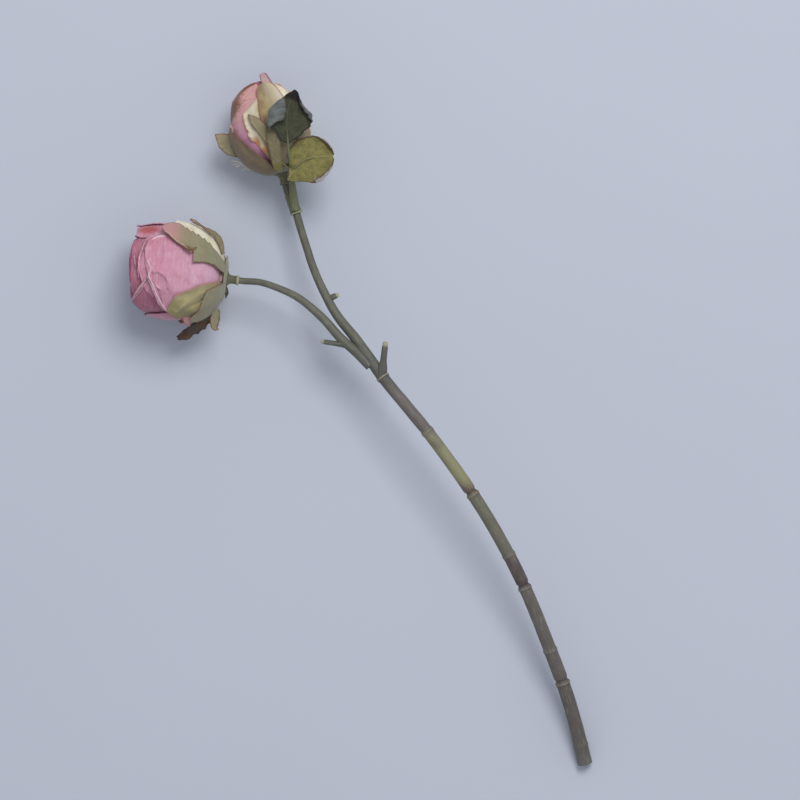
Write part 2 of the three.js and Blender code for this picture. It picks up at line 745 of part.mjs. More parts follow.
// The moulded plastic stem: cane, fork, both branches and cut twigs, bored for the wires.
function stemSolid() {
  const cane = toSolid(rod(caneCurve, caneStations(), caneRadius, CANE_SIDES));
  const branchRadius = (centre) => readTable(BRANCH_GIRTH, centre.x);
  const branch = rod(branchCurve, evenStations(branchCurve, RING_PITCH), branchRadius, BRANCH_SIDES);
  const bore = () => BORE_RADIUS;
  const caneBore = rod(caneCurve, evenStations(caneCurve, BORE_PITCH), bore, WIRE_SIDES);
  const branchBore = rod(branchCurve, evenStations(branchCurve, BORE_PITCH), bore, WIRE_SIDES);
  const table = new THREE.BoxGeometry(TABLE_SPAN, TABLE_SPAN, TABLE_DEPTH);
  table.translate(0, 0, -TABLE_DEPTH / 2);
  return joined([cane, toSolid(branch), ...TWIGS.map(twigSolid)])
    .subtract(endless(caneCurve, caneBore))
    .subtract(endless(branchCurve, branchBore, false))
    .subtract(toSolid(table));
}

// The bore with short straight runs past the ends, so that it opens cleanly.
function endless(curve, bore, openFoot = true) {
  const runs = [toSolid(bore)];
  const ends = openFoot ? [0, 1] : [1];
  ends.forEach((t) => {
    const centre = curve.getPointAt(t);
    const ahead = curve.getTangentAt(t);
    const out = t ? 1 : -1;
    const line = new THREE.LineCurve3(
      centre.clone().addScaledVector(ahead, -0.5 * out),
      centre.clone().addScaledVector(ahead, BORE_OVERRUN * out),
    );
    runs.push(toSolid(rod(line, [0, 1], () => BORE_RADIUS, WIRE_SIDES)));
  });
  return joined(runs);
}

// A wire along its bore and on into the bud.
function wireSolid(curve, bud, from) {
  const lead = rod(curve, evenStations(curve, BORE_PITCH, from, 1), () => WIRE_RADIUS, WIRE_SIDES);
  const line = new THREE.LineCurve3(
    vector(alongAxis(bud, -NECK_LENGTH + SOCKET_DEPTH - SLIP_GAP - 0.2)),
    vector(alongAxis(bud, WIRE_IN_BUD - SLIP_GAP)),
  );
  const tail = rod(line, [0, 1], () => WIRE_RADIUS, WIRE_SIDES);
  return toSolid(lead).add(toSolid(tail));
}

function leafStalkSolid() {
  const from = stationAtHeight(caneCurve, SHEATH_FROM);
  const to = stationAtHeight(caneCurve, SHEATH_TO);
  const stations = [0, 0.08, 0.22, 0.5, 0.75, 1].map((share) => lerp(from, to, share));
  const sheathRadius = (centre, t) => {
    const share = (t - from) / (to - from);
    const rim = share < 0.15 ? SHEATH_RIM : 0;
    return readTable(CANE_GIRTH, centre.y) + SLIP_GAP + SHEATH_WALL * (1 - 0.25 * share) + rim;
  };
  const room = evenStations(caneCurve, CLEARANCE_PITCH, from - SHEATH_ROOM, to + 2 * SHEATH_ROOM);
  const clearance = (centre) => readTable(CANE_GIRTH, centre.y) + SLIP_GAP;
  const sheath = toSolid(rod(caneCurve, stations, sheathRadius, BRANCH_SIDES));
  const stalks = LEAFLET_STALKS.map((points) => {
    return rodAlong(points, LEAFLET_STALK_RADIUS, STALK_SIDES, STALK_PITCH);
  });
  const stalkCurve = curveThrough(LEAF_STALK);
  const stalkRadius = (_, t) => lerp(...STALK_RADII, t);
  const stalk = toSolid(rod(stalkCurve, evenStations(stalkCurve, STALK_PITCH), stalkRadius, STALK_SIDES));
  const whole = joined([sheath, stalk, ...stalks]);
  return whole.subtract(toSolid(rod(caneCurve, room, clearance, BRANCH_SIDES)));
}

const sprig = new THREE.Group();
sprig.name = 'artificial_rosebud_sprig';

function addPiece(parent, name, solid, colour, roughness, metalness = 0) {
  const material = new THREE.MeshStandardMaterial({ color: colour, roughness, metalness });
  const mesh = new THREE.Mesh(toGeometry(solid), material);
  mesh.name = name;
  parent.add(mesh);
}

// A bud's own frame has X up from the table, Z along its axis and Y to the side.
function budGroup(bud, name) {
  const up = new THREE.Vector3(0, 0, 1);
  const axis = axisOf(bud);
  const side = new THREE.Vector3().crossVectors(axis, up);
  const group = new THREE.Group();
  group.name = name;
  group.quaternion.setFromRotationMatrix(new THREE.Matrix4().makeBasis(up, side, axis));
  group.position.set(...bud.seat);
  sprig.add(group);
  return group;
}

const largeBud = budGroup(LARGE_BUD, 'large_bud');
const smallBud = budGroup(SMALL_BUD, 'small_bud');

addPiece(sprig, 'stem', stemSolid(), COLOURS.stem, 0.5);
addPiece(sprig, 'main_wire', wireSolid(caneCurve, SMALL_BUD, WIRE_START), COLOURS.wire, 0.4, 1);
const branchWire = wireSolid(branchCurve, LARGE_BUD, BRANCH_WIRE_START);
addPiece(sprig, 'branch_wire', branchWire, COLOURS.wire, 0.4, 1);
addPiece(sprig, 'leaf_stalk', leafStalkSolid(), COLOURS.stalk, 0.55);
addPiece(sprig, 'leaf_dark', leafSolid(DARK_LEAF), COLOURS.darkLeaf, 0.7);
addPiece(sprig, 'leaf_round', leafSolid(ROUND_LEAF), COLOURS.roundLeaf, 0.75);
addPiece(sprig, 'leaf_narrow', leafSolid(NARROW_LEAF), COLOURS.narrowLeaf, 0.75);
addPiece(largeBud, 'large_petals', heartOf(LARGE_BUD, LARGE_PETALS, LARGE_WHORLS), COLOURS.pink, 0.8);
addPiece(largeBud, 'large_guards', guardsOf(LARGE_BUD, LARGE_GUARDS), COLOURS.cream, 0.8);
addPiece(largeBud, 'large_calyx', calyxOf(LARGE_BUD, LARGE_SEPALS), COLOURS.olive, 0.75);
addPiece(smallBud, 'small_petals', heartOf(SMALL_BUD, SMALL_PETALS, SMALL_WHORLS), COLOURS.pink, 0.8);
addPiece(smallBud, 'small_guards', guardsOf(SMALL_BUD, SMALL_GUARDS), COLOURS.cream, 0.8);
addPiece(smallBud, 'small_calyx', calyxOf(SMALL_BUD, SMALL_SEPALS), COLOURS.olive, 0.75);

export default sprig;
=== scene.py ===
import math

import bmesh
import bpy
import numpy as np
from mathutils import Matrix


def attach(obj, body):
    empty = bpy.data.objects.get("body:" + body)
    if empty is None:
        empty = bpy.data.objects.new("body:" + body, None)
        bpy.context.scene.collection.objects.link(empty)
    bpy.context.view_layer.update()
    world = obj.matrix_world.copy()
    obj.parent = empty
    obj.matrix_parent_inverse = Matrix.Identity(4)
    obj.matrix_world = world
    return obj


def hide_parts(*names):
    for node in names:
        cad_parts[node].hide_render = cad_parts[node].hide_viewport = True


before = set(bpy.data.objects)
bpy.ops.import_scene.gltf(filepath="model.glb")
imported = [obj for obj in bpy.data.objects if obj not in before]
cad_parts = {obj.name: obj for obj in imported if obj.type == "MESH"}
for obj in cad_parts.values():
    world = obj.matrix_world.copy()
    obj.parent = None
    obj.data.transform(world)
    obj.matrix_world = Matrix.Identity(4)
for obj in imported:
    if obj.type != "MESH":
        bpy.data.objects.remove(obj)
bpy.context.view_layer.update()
print("frame loaded,", len(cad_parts), "nodes")

mm = 0.001  # every table below is in millimetres


# shader helper
class Socket:
    def __init__(self, tree, link=None):
        self.tree = tree
        self.link = link

    # any node: its type, its settings first, then the values or links of its sockets
    def node(self, kind, settings, values, output=0):
        made = self.tree.nodes.new(kind)
        for key, value in settings.items():
            if key == "stops":
                ends = made.color_ramp.elements
                ends[0].position, ends[0].color = value[0]
                ends[1].position, ends[1].color = value[-1]
                for place, colour in value[1:-1]:
                    ends.new(place).color = colour
            else:
                setattr(made, key, value)
        for key, value in values.items():
            if isinstance(value, Socket):
                self.tree.links.new(value.link, made.inputs[key])
            else:
                made.inputs[key].default_value = value
        return Socket(self.tree, made.outputs[output])

    def math(self, operation, *values):
        return self.node("ShaderNodeMath", {"operation": operation}, dict(enumerate(values)))

    def __add__(self, other):
        return self.math("ADD", self, other)

    def __radd__(self, other):
        return self.math("ADD", other, self)

    def __sub__(self, other):
        return self.math("SUBTRACT", self, other)

    def __rsub__(self, other):
        return self.math("SUBTRACT", other, self)

    def __mul__(self, other):
        return self.math("MULTIPLY", self, other)

    def __rmul__(self, other):
        return self.math("MULTIPLY", other, self)

    def __truediv__(self, other):
        return self.math("DIVIDE", self, other)

    # 0 below low, 1 above high, eased in between
    def between(self, low, high):
        settings = {"interpolation_type": "SMOOTHSTEP"}
        return self.node("ShaderNodeMapRange", settings, {"Value": self, "From Min": low, "From Max": high})

    # this value as the share of the second colour over the first
    def tint(self, under, over):
        return self.node("ShaderNodeMix", {"data_type": "RGBA"}, {0: self, 6: under, 7: over}, 2)

    def field(self, name):
        return self.node("ShaderNodeAttribute", {"attribute_name": name}, {}, "Fac")

    def vector(self, x, y, z):
        return self.node("ShaderNodeCombineXYZ", {}, {"X": x, "Y": y, "Z": z})

    def noise(self, vector, scale, detail=3.0, rough=0.55):
        values = {"Vector": vector, "Scale": scale, "Detail": detail, "Roughness": rough}
        return self.node("ShaderNodeTexNoise", {}, values, "Fac")

    def feed(self, shader, name):
        self.tree.links.new(self.link, shader.inputs[name])


def colour(red, green, blue):
    parts = np.array([red, green, blue]) / 255
    linear = np.where(parts > 0.04045, ((parts + 0.055) / 1.055) ** 2.4, parts / 12.92)
    return (*linear.tolist(), 1.0)


def newMaterial(name, fixed):
    material = bpy.data.materials.new(name)
    material.use_nodes = True
    shader = material.node_tree.nodes["Principled BSDF"]
    for key, value in fixed.items():
        shader.inputs[key].default_value = value
    return material, shader, Socket(material.node_tree)


# shapes
def easeStep(x, low, high):
    share = np.clip((x - low) / (high - low), 0, 1)
    return share * share * (3 - 2 * share)


# smooth bumps: the mean of seeded sine waves running in all directions over x and y
def ripples(x, y, seed, rate, count=7):
    x, y = np.broadcast_arrays(np.asarray(x, float), np.asarray(y, float))
    rng = np.random.default_rng(seed)
    turn, phase = rng.uniform(0, 2 * np.pi, (2, count))
    pace = rate * rng.uniform(0.6, 1.7, count)
    run = np.cos(turn) * x[..., None] + np.sin(turn) * y[..., None]
    return 1.7 * np.sin(pace * run + phase).mean(-1)


# distance on a plane from each point (x, y) to a line of straight runs
def lineDistance(x, y, line):
    spots = np.array(line, float)
    start, run = spots[:-1], np.diff(spots, axis=0)
    offX, offY = x[..., None] - start[:, 0], y[..., None] - start[:, 1]
    share = np.clip((offX * run[:, 0] + offY * run[:, 1]) / (run ** 2).sum(1), 0, 1)
    return np.hypot(offX - share * run[:, 0], offY - share * run[:, 1]).min(-1)


# centripetal curve through the points, read at even steps of length
def curveThrough(points, count):
    spots = np.array(points, float)
    spots = np.vstack([2 * spots[0] - spots[1], spots, 2 * spots[-1] - spots[-2]])
    gap = np.sqrt(np.linalg.norm(np.diff(spots, axis=0), axis=1))[:, None]
    a, b, c, d = spots[:-3], spots[1:-2], spots[2:-1], spots[3:]
    before, here, after = gap[:-2], gap[1:-1], gap[2:]
    leave = here * ((b - a) / before - (c - a) / (before + here) + (c - b) / here)
    reach = here * ((c - b) / here - (d - b) / (here + after) + (d - c) / after)
    t = np.linspace(0, 1, 60)[None, :, None]
    b, c, leave, reach = b[:, None], c[:, None], leave[:, None], reach[:, None]
    fine = b + leave * t + (3 * (c - b) - 2 * leave - reach) * t ** 2
    fine = (fine + (2 * (b - c) + leave + reach) * t ** 3).reshape(-1, 3)
    length = np.concatenate([[0], np.cumsum(np.linalg.norm(np.diff(fine, axis=0), axis=1))])
    even = np.linspace(0, length[-1], count)
    return np.stack([np.interp(even, length, fine[:, k]) for k in range(3)], -1)


def pathFrame(path):
    ahead = np.gradient(path, axis=0)
    ahead /= np.linalg.norm(ahead, axis=1)[:, None]
    side = np.cross([0, 0, 1], ahead)
    side /= np.linalg.norm(side, axis=1)[:, None]
    return ahead, side, np.cross(ahead, side)


# a round profile carried along a path: centre + radius * (cos * side + sin * over), ends drawn shut
def tubeGrid(path, radius, sides, fields=None, domed=0.0):
    path, radius = np.array(path, float), np.array(radius, float)
    ahead, side, over = pathFrame(path)
    if radius.ndim == 1:
        radius = np.repeat(radius[:, None], sides, 1)
    around = 2 * np.pi * np.arange(sides) / sides
    ring = np.cos(around)[None, :, None] * side[:, None] + np.sin(around)[None, :, None] * over[:, None]
    points = path[:, None] + radius[..., None] * ring
    shut = [(0.94, 0.3), (0.6, 0.75), (0.0, 1.0)]
    foot = [path[0] + (points[0] - path[0]) * share - ahead[0] * domed * rise for share, rise in shut]
    tip = [path[-1] + (points[-1] - path[-1]) * share + ahead[-1] * domed * rise for share, rise in shut]
    points = np.concatenate([foot[::-1], points, tip])
    points[..., 2] = np.maximum(points[..., 2], 0.05)
    weft = np.broadcast_to(around[None, :] * radius.mean(), points.shape[:2])
    warp = np.linspace(0, np.linalg.norm(np.diff(path, axis=0), axis=1).sum(), len(points))[:, None]
    made = {"warp": warp, "weft": weft}
    for key, value in (fields or {}).items():
        value = np.asarray(value, float)
        value = value[:, None] if value.ndim == 1 else value
        made[key] = np.concatenate([value[:1]] * 3 + [value] + [value[-1:]] * 3)
    return {"points": points, "ring": True, "fields": made}


# outline of a bud: a rounded cup up to the belly, then drawing in to the mouth
def outlineRadius(bud, height):
    rise = np.clip(height / bud["belly"], 0, 1)
    cup = bud["girth"] * (1 - (1 - rise) ** bud["cup"]) ** (1 / bud["cup"])
    fall = np.clip((height - bud["belly"]) / (bud["length"] - bud["belly"]), 0, 1.3)
    upper = bud["girth"] - (bud["girth"] - bud["mouth"]) * fall ** bud["close"]
    return np.where(height < bud["belly"], cup, np.maximum(0.6, upper))


def shellRadius(bud, height, lift):
    drop = lift * np.maximum(0, 1 - height / bud["belly"])
    return outlineRadius(bud, height + drop) + lift


# seat + axis * height + radius * (up * cos + side * sin), never below the table
def budPoints(bud, angle, height, radius):
    heading, turn = np.radians(bud["heading"]), np.radians(angle)
    axis = np.array([np.cos(heading), np.sin(heading), 0])
    side = np.array([np.sin(heading), -np.cos(heading), 0])
    turn, height, radius = np.broadcast_arrays(turn, height, radius)
    points = np.array(bud["seat"]) + height[..., None] * axis + (radius * np.sin(turn))[..., None] * side
    points[..., 2] = np.maximum(points[..., 2] + radius * np.cos(turn), 0.05)
    return points


def onAxis(bud, distance):
    return budPoints(bud, 0, np.array(float(distance)), np.array(0.0)).tolist()


def readLine(line, x):
    return np.interp(x, [spot[0] for spot in line], [spot[1] for spot in line])


# A petal or sepal laid on the bud: height runs from foot to crown, the angle between two edge
# lines, and the radius is the bud's outline plus lift, peel, flare, wrinkles, edge rolls and ridges.
# An edge line is pairs of height and angle, and a roll is its size, first height and last height.
def bladeGrid(bud, blade, seed):
    get = blade.get
    rows, columns = get("rows", 44), get("columns", 40)
    u = np.linspace(0, 1, rows)[:, None]
    v = np.linspace(-1, 1, columns)[None, :]
    foot, crown = blade["low"][0][0], blade["low"][-1][0]
    height = foot + (crown - foot) * u
    low, high = readLine(blade["low"], height), readLine(blade["high"], height)
    fray = get("fray", 0.0) * easeStep(u, 0.12, 0.4)
    low = low + fray * ripples(height, 0 * height, seed + 1, 1.6)
    high = high + fray * ripples(height, 0 * height, seed + 2, 1.6)
    angle = (low + high) / 2 + (high - low) / 2 * v
    height = height + fray * 0.12 * ripples(angle, 0 * angle, seed + 3, 0.35) * u ** 4
    height = height + bud["mouthTilt"] * np.sin(np.radians(angle)) * easeStep(height, 30, 46)
    share, lift = get("share", 1.0), get("lift", 0.0)
    radius = share * shellRadius(bud, height, lift / share)
    radius = radius + get("peel", 0.0) * u ** 2.4
    if "flare" in blade:
        near = easeStep(angle, *blade["flareOver"]) if "flareOver" in blade else 1.0
        radius = radius + readLine(blade["flare"], height) * near
    across = np.radians(angle - get("turn", 0.0)) * radius
    free = easeStep(u, 0.1, 0.5)
    radius = radius + get("wrinkle", 0.25) * free * ripples(across / 6, height / 9, seed + 4, 2.6)
    radius = radius + get("pleat", 0.1) * free * ripples(across / 1.6, height / 22, seed + 5, 1.5)
    half = np.radians(np.abs(high - low) / 2) * radius
    toLow, toHigh = (1 + v) * half, (1 - v) * half
    toTop = (1 - u) * (crown - foot) + 0 * v
    edge = np.minimum(np.minimum(toLow, toHigh), toTop + get("topGap", 1.2))
    pale = np.zeros_like(radius)
    for side, gap in (("rollLow", toLow), ("rollHigh", toHigh), ("rollTop", toTop)):
        if side in blade:  # an edge turned over: a round bead just inside the edge
            size, first, last = blade[side]
            wide = get("rollWide", 0.75)
            bead = np.exp(-((gap - 0.9 * wide) / wide) ** 2) * easeStep(height, first, first + 4)
            bead = bead * (1 - easeStep(height, last - 2, last + 0.5))
            radius = radius + size * bead
            # the bead is also painted pale, a painted highlight on the turned edge
            pale = np.maximum(pale, get("paleRoll", 1.0) * bead)
    side = radius * np.sin(np.radians(angle))
    burn = np.zeros_like(radius)
    for line, size, width, show in get("ridges", ()):  # creases on the flat view: pale, or dark below zero
        crest = np.exp(-(lineDistance(height + 0 * side, side, line) / width) ** 2)
        radius = radius + size * crest
        # a crest with a positive show is painted pale as its highlight; a negative show paints a line of shade
        # along the crease
        pale, burn = np.maximum(pale, show * crest), np.maximum(burn, -show * crest)
    for place, wide, reach, depth, dark in get("dents", ()):  # oval hollows: height, angle, sizes, depth
        spot = ((height - place[0]) / wide) ** 2 + ((angle - place[1]) / reach) ** 2
        hollow = np.exp(-spot)
        radius = radius - depth * hollow
        burn = np.maximum(burn, dark * hollow)
    if "burn" in blade:
        strength, first, last, reach = blade["burn"]
        gap = toLow if get("burnLow") else edge
        burn = np.maximum(
            burn, strength * np.exp(-gap / readLine(reach, height)) * easeStep(height, first, last),
        )
    if "burnTip" in blade:
        burn = np.maximum(burn, easeStep(u + 0 * v, *blade["burnTip"]))
    tone = get("tone", 0.0)
    tone = tone + (get("toneHigh", tone) - tone) * (v + 1) / 2
    fields = {"along": u, "edge": edge, "tone": tone, "burn": burn, "pale": pale}
    fields.update({"warp": height + 0 * v, "weft": across})
    return {"points": budPoints(bud, angle, height, np.maximum(radius, get("least", 1.9))), "fields": fields}


# edge lines of a plain rounded or pointed blade about one angle
def plainEdges(turn, spread, crown, foot, claw=0.7, point=0.25, lean=0.0):
    stations = np.array([0, 0.12, 0.3, 0.5, 0.7, 0.85, 0.94, 1.0])
    widths = np.array([claw, 0.5 + 0.5 * claw, 0.95, 1.0, 0.96, 0.8, 0.58, point])
    heights = foot + (crown - foot) * stations
    middle = turn + lean * stations
    return {
        "turn": turn,
        "low": list(zip(heights.tolist(), (middle - spread * widths).tolist())),
        "high": list(zip(heights.tolist(), (middle + spread * widths).tolist())),
    }


# a turned surface: a profile of radius against height carried right round the bud's axis
def turnedGrid(bud, profile, sides=56, fields=None):
    radius, height = np.array(profile, float).T
    angle = 360 * np.arange(sides) / sides
    points = budPoints(bud, angle[None, :], height[:, None], radius[:, None])
    made = {"warp": height[:, None], "weft": np.radians(angle)[None, :] * radius[:, None]}
    made.update(fields or {})
    return {"points": points, "ring": True, "fields": made}


# A leaf: a flat half-width on each side of a bent rib, rolled up past a start share of its width.
# Along the roll, across = start + bend * sin(turn) and over = bend * (1 - cos(turn)), and past
# the most turn the flap runs straight on.
def leafGrid(leaf, seed):
    get = leaf.get
    rows, columns = get("rows", 90), get("columns", 61)
    rib = curveThrough(leaf["rib"], rows)
    ahead = np.gradient(rib, axis=0)
    ahead /= np.linalg.norm(ahead, axis=1)[:, None]
    facing = np.array(leaf["face"], float)
    across = np.cross(ahead, facing)
    across /= np.linalg.norm(across, axis=1)[:, None]
    over = np.cross(across, ahead)
    u = np.linspace(0, 1, rows)[:, None]
    v = np.linspace(-1, 1, columns)[None, :]
    left, right = readLine(leaf["left"], u), readLine(leaf["right"], u)
    saw = 1 - np.abs((u * get("teeth", 11) * 2) % 2 - 1)
    half = np.where(v < 0, left, right) * (1 - get("notch", 0.05) * saw * np.abs(v) ** 6)
    flat = np.abs(v) * half
    start = np.where(v < 0, readLine(leaf["rollLeft"], u), readLine(leaf["rollRight"], u)) * half
    bend = np.where(v < 0, get("bendLeft", 3.0), get("bendRight", 3.0))
    most = np.where(v < 0, get("foldLeft", 2.4), get("foldRight", 2.4))
    past = np.maximum(flat - start, 0)
    turn = np.minimum(past / bend, most)
    flap = np.maximum(past - most * bend, 0)
    reach = np.minimum(flat, start) + bend * np.sin(turn) + flap * np.cos(turn)
    rise = bend * (1 - np.cos(turn)) + flap * np.sin(turn) + get("cup", 0.02) * reach ** 2
    length = np.linalg.norm(np.diff(rib, axis=0), axis=1).sum()
    veinStep = get("veinStep", 4.2)
    rank = (u * length - flat * get("veinSlope", 0.9)) / veinStep
    offVein = np.abs(rank - np.round(rank)) * veinStep
    sideVein = np.exp(-(offVein / get("veinWide", 0.3)) ** 2) * easeStep(flat, 0.3, 1.0)
    sideVein = sideVein * (1 - easeStep(flat / half, 0.8, 1.0))
    midrib = np.exp(-(flat / 0.42) ** 2)
    vein = np.maximum(midrib, 0.7 * sideVein) * get("showVein", 1.0)
    puff = np.cos(np.pi * 2 * rank) * -0.12 * easeStep(flat / half, 0.1, 0.4)
    crumple = get("crumple", 0.5) * ripples(flat * np.sign(v) / 4, u * length / 5, seed, 2.2) * np.abs(v)
    rise = rise + 0.25 * vein + puff + crumple
    points = rib[:, None] + (np.sign(v) * reach)[..., None] * across[:, None] + rise[..., None] * over[
        :, None,
    ]
    fields = {"along": u, "edge": half * (1 - np.abs(v)), "pale": vein, "tone": get("tone", 0.0)}
    fields.update({"warp": u * length, "weft": flat * np.sign(v)})
    fields["burn"] = easeStep(u + 0 * v, *get("darkTip", (2, 3)))
    return {"points": points, "fields": fields}


fieldRest = {"along": 0.5, "edge": 9.0, "tone": 0.0, "burn": 0.0, "pale": 0.0, "warp": 0.0, "weft": 0.0}


# one mesh from several grids, poles welded, put at the origin and tied to the body
def makePiece(name, grids, materials, nodes=(), wall=None):
    corners, quads, start = [], [], 0
    for grid in grids:
        rows, columns = grid["points"].shape[:2]
        index = start + np.arange(rows * columns).reshape(rows, columns)
        if grid.get("ring"):
            index = np.hstack([index, index[:, :1]])
        around = [index[:-1, :-1], index[:-1, 1:], index[1:, 1:], index[1:, :-1]]
        quads.append(np.stack(around, -1).reshape(-1, 4))
        corners.append(grid["points"].reshape(-1, 3) * mm)
        start += rows * columns
    mesh = bpy.data.meshes.new(name)
    mesh.from_pydata(np.concatenate(corners).tolist(), [], np.concatenate(quads).tolist())
    for field, rest in fieldRest.items():
        values = [np.broadcast_to(g["fields"].get(field, rest), g["points"].shape[:2]).ravel() for g in grids]
        layer = mesh.attributes.new(field, "FLOAT", "POINT")
        layer.data.foreach_set("value", np.concatenate(values).astype(np.float32))
    work = bmesh.new()
    work.from_mesh(mesh)
    bmesh.ops.remove_doubles(work, verts=work.verts, dist=2e-6)
    work.to_mesh(mesh)
    work.free()
    mesh.shade_smooth()
    for material in materials:
        mesh.materials.append(material)
    piece = bpy.data.objects.new(name, mesh)
    bpy.context.collection.objects.link(piece)
    if wall:
        solid = piece.modifiers.new("wall", "SOLIDIFY")
        solid.thickness = wall * mm
        solid.offset = -1.0
        solid.material_offset = len(materials) - 1
        solid.material_offset_rim = 0
    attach(piece, "root")
    if nodes:
        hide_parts(*nodes)
    print(name, len(mesh.polygons), "faces")
    return piece


# camera, light and floor
studio = {
    "centre": (19.25, 10.25, 22.0),  # middle of the view, on the sprig's middle level
    "width": 400.0,  # what the frame takes in
    "distance": 2600.0,
    "keyHeading": 68.0,
    "keyHeight": 60.0,
    "keyDistance": 2.0,
    "keySize": 1.0,
    "keyPower": 23.6,
    "skyPower": 0.64,
    "skyColour": colour(226, 231, 240),
    "floorColour": (186, 191, 203),
}


def makeStudio():
    centre = np.array(studio["centre"]) * mm
    lens = bpy.data.cameras.new("overheadCamera")
    lens.sensor_width = 36.0
    lens.lens = 36.0 * (studio["distance"] - studio["centre"][2]) / studio["width"]
    lens.clip_end = 50.0
    camera = bpy.data.objects.new("overheadCamera", lens)
    camera.location = (centre[0], centre[1], studio["distance"] * mm)
    bpy.context.collection.objects.link(camera)
    bpy.context.scene.camera = camera
    heading, height = math.radians(studio["keyHeading"]), math.radians(studio["keyHeight"])
    level = math.cos(height)
    towards = np.array([math.cos(heading) * level, math.sin(heading) * level, math.sin(height)])
    panel = bpy.data.lights.new("keyPanel", "AREA")
    panel.shape = "DISK"
    panel.size = studio["keySize"]
    panel.energy = studio["keyPower"]
    panel.color = (1.0, 0.985, 0.96)
    key = bpy.data.objects.new("keyPanel", panel)
    key.location = centre + towards * studio["keyDistance"]
    key.rotation_euler = (0.0, math.pi / 2 - height, heading)
    bpy.context.collection.objects.link(key)
    world = bpy.data.worlds.new("studioSky")
    world.use_nodes = True
    sky = world.node_tree.nodes["Background"]
    sky.inputs["Color"].default_value = studio["skyColour"]
    sky.inputs["Strength"].default_value = studio["skyPower"]
    bpy.context.scene.world = world
    bpy.context.scene.view_settings.view_transform = "Standard"
    material, shader, graph = newMaterial("paleTable", {"Roughness": 0.75, "Specular IOR Level": 0.2})
    place = graph.node("ShaderNodeTexCoord", {}, {}, "Object")
    cloud = graph.noise(place, 3.0, 2.0)
    base = np.array(studio["floorColour"])
    tableColour = cloud.between(0.3, 0.7).tint(colour(*(base - 1)), colour(*(base + 1)))
    tableColour.feed(shader, "Base Color")
    grain = graph.noise(place, 900.0, 2.0)
    bump = graph.node("ShaderNodeBump", {}, {"Height": grain, "Strength": 0.04, "Distance": 0.0002}, "Normal")
    bump.feed(shader, "Normal")
    mesh = bpy.data.meshes.new("paleTable")
    mesh.from_pydata([(-6, -6, 0), (6, -6, 0), (6, 6, 0), (-6, 6, 0)], [], [(0, 1, 2, 3)])
    mesh.materials.append(material)
    table = bpy.data.objects.new("paleTable", mesh)
    bpy.context.collection.objects.link(table)


makeStudio()
print("studio set")


# finishes
# Dyed cloth: two ground colours from foot to crown, a tone per petal, mottling, fine crosswise
# thread streaks, a dyed rim, browned places and painted shade along creases, pale folds and turned
# edges painted as highlights, with the weave as bump.
def dyedCloth(name, dye):
    fixed = {"Roughness": 0.85, "Specular IOR Level": 0.25, "Sheen Weight": 0.25, "Sheen Roughness": 0.5}
    material, shader, graph = newMaterial(name, fixed)
    along, edge, tone = graph.field("along"), graph.field("edge"), graph.field("tone")
    burn, pale = graph.field("burn"), graph.field("pale")
    warp, weft = graph.field("warp"), graph.field("weft")
    cloth = graph.vector(warp, weft, tone * 40)
    blotch = graph.noise(cloth, 0.16, 3.0)
    ground = along.between(dye["turnOver"][0], dye["turnOver"][1]).tint(dye["foot"], dye["crown"])
    ground = tone.between(0.0, 1.0).tint(ground, dye["tone"])
    ground = (blotch.between(0.42, 0.72) * dye["blotchShare"]).tint(ground, dye["blotch"])
    streak = graph.noise(graph.vector(warp * 1.7, weft * 0.16, tone * 9), 1.0, 2.0, 0.7)
    thread = graph.noise(graph.vector(warp * 4.2, weft * 0.5, tone * 5), 1.0, 1.0, 0.5)
    lines = streak.between(0.46, 0.74) * dye["streakShare"] + thread.between(0.5, 0.75) * (
        0.5 * dye["streakShare"]
    )
    ground = (lines * (1 - tone * 0.75)).tint(ground, dye["streak"])
    vein = graph.noise(graph.vector(warp * 0.22, weft * 1.3, tone * 7), 1.0, 2.0)
    ground = (vein.between(0.55, 0.8) * dye["veinShare"]).tint(ground, dye["vein"])
    rough = graph.noise(cloth, 0.7, 3.0)
    # browned places and the painted shade along creases take the burn colour
    scorchAndShade = (burn + (rough - 0.5) * dye["burnAndShadeBreak"]).between(*dye["burnAndShadeEdge"])
    ground = scorchAndShade.tint(ground, dye["burn"])
    # pale folds and turned edges: a painted highlight
    ground = (pale.between(0.25, 0.95) * dye["paleShare"]).tint(ground, dye["pale"])
    rim = (1 - (edge + rough * 1.2 - 0.6).between(dye["rimWide"] * 0.25, dye["rimWide"])) * dye["rimShare"]
    ground = rim.tint(ground, dye["rim"])
    ground.feed(shader, "Base Color")
    weave = graph.math("SINE", warp * 12.0) + graph.math("SINE", weft * 12.0)
    relief = weave * 0.12 + streak * 0.8 + thread * 0.5 + rough * 0.6
    values = {"Height": relief, "Strength": 0.35, "Distance": 0.0005}
    graph.node("ShaderNodeBump", {}, values, "Normal").feed(shader, "Normal")
    return material


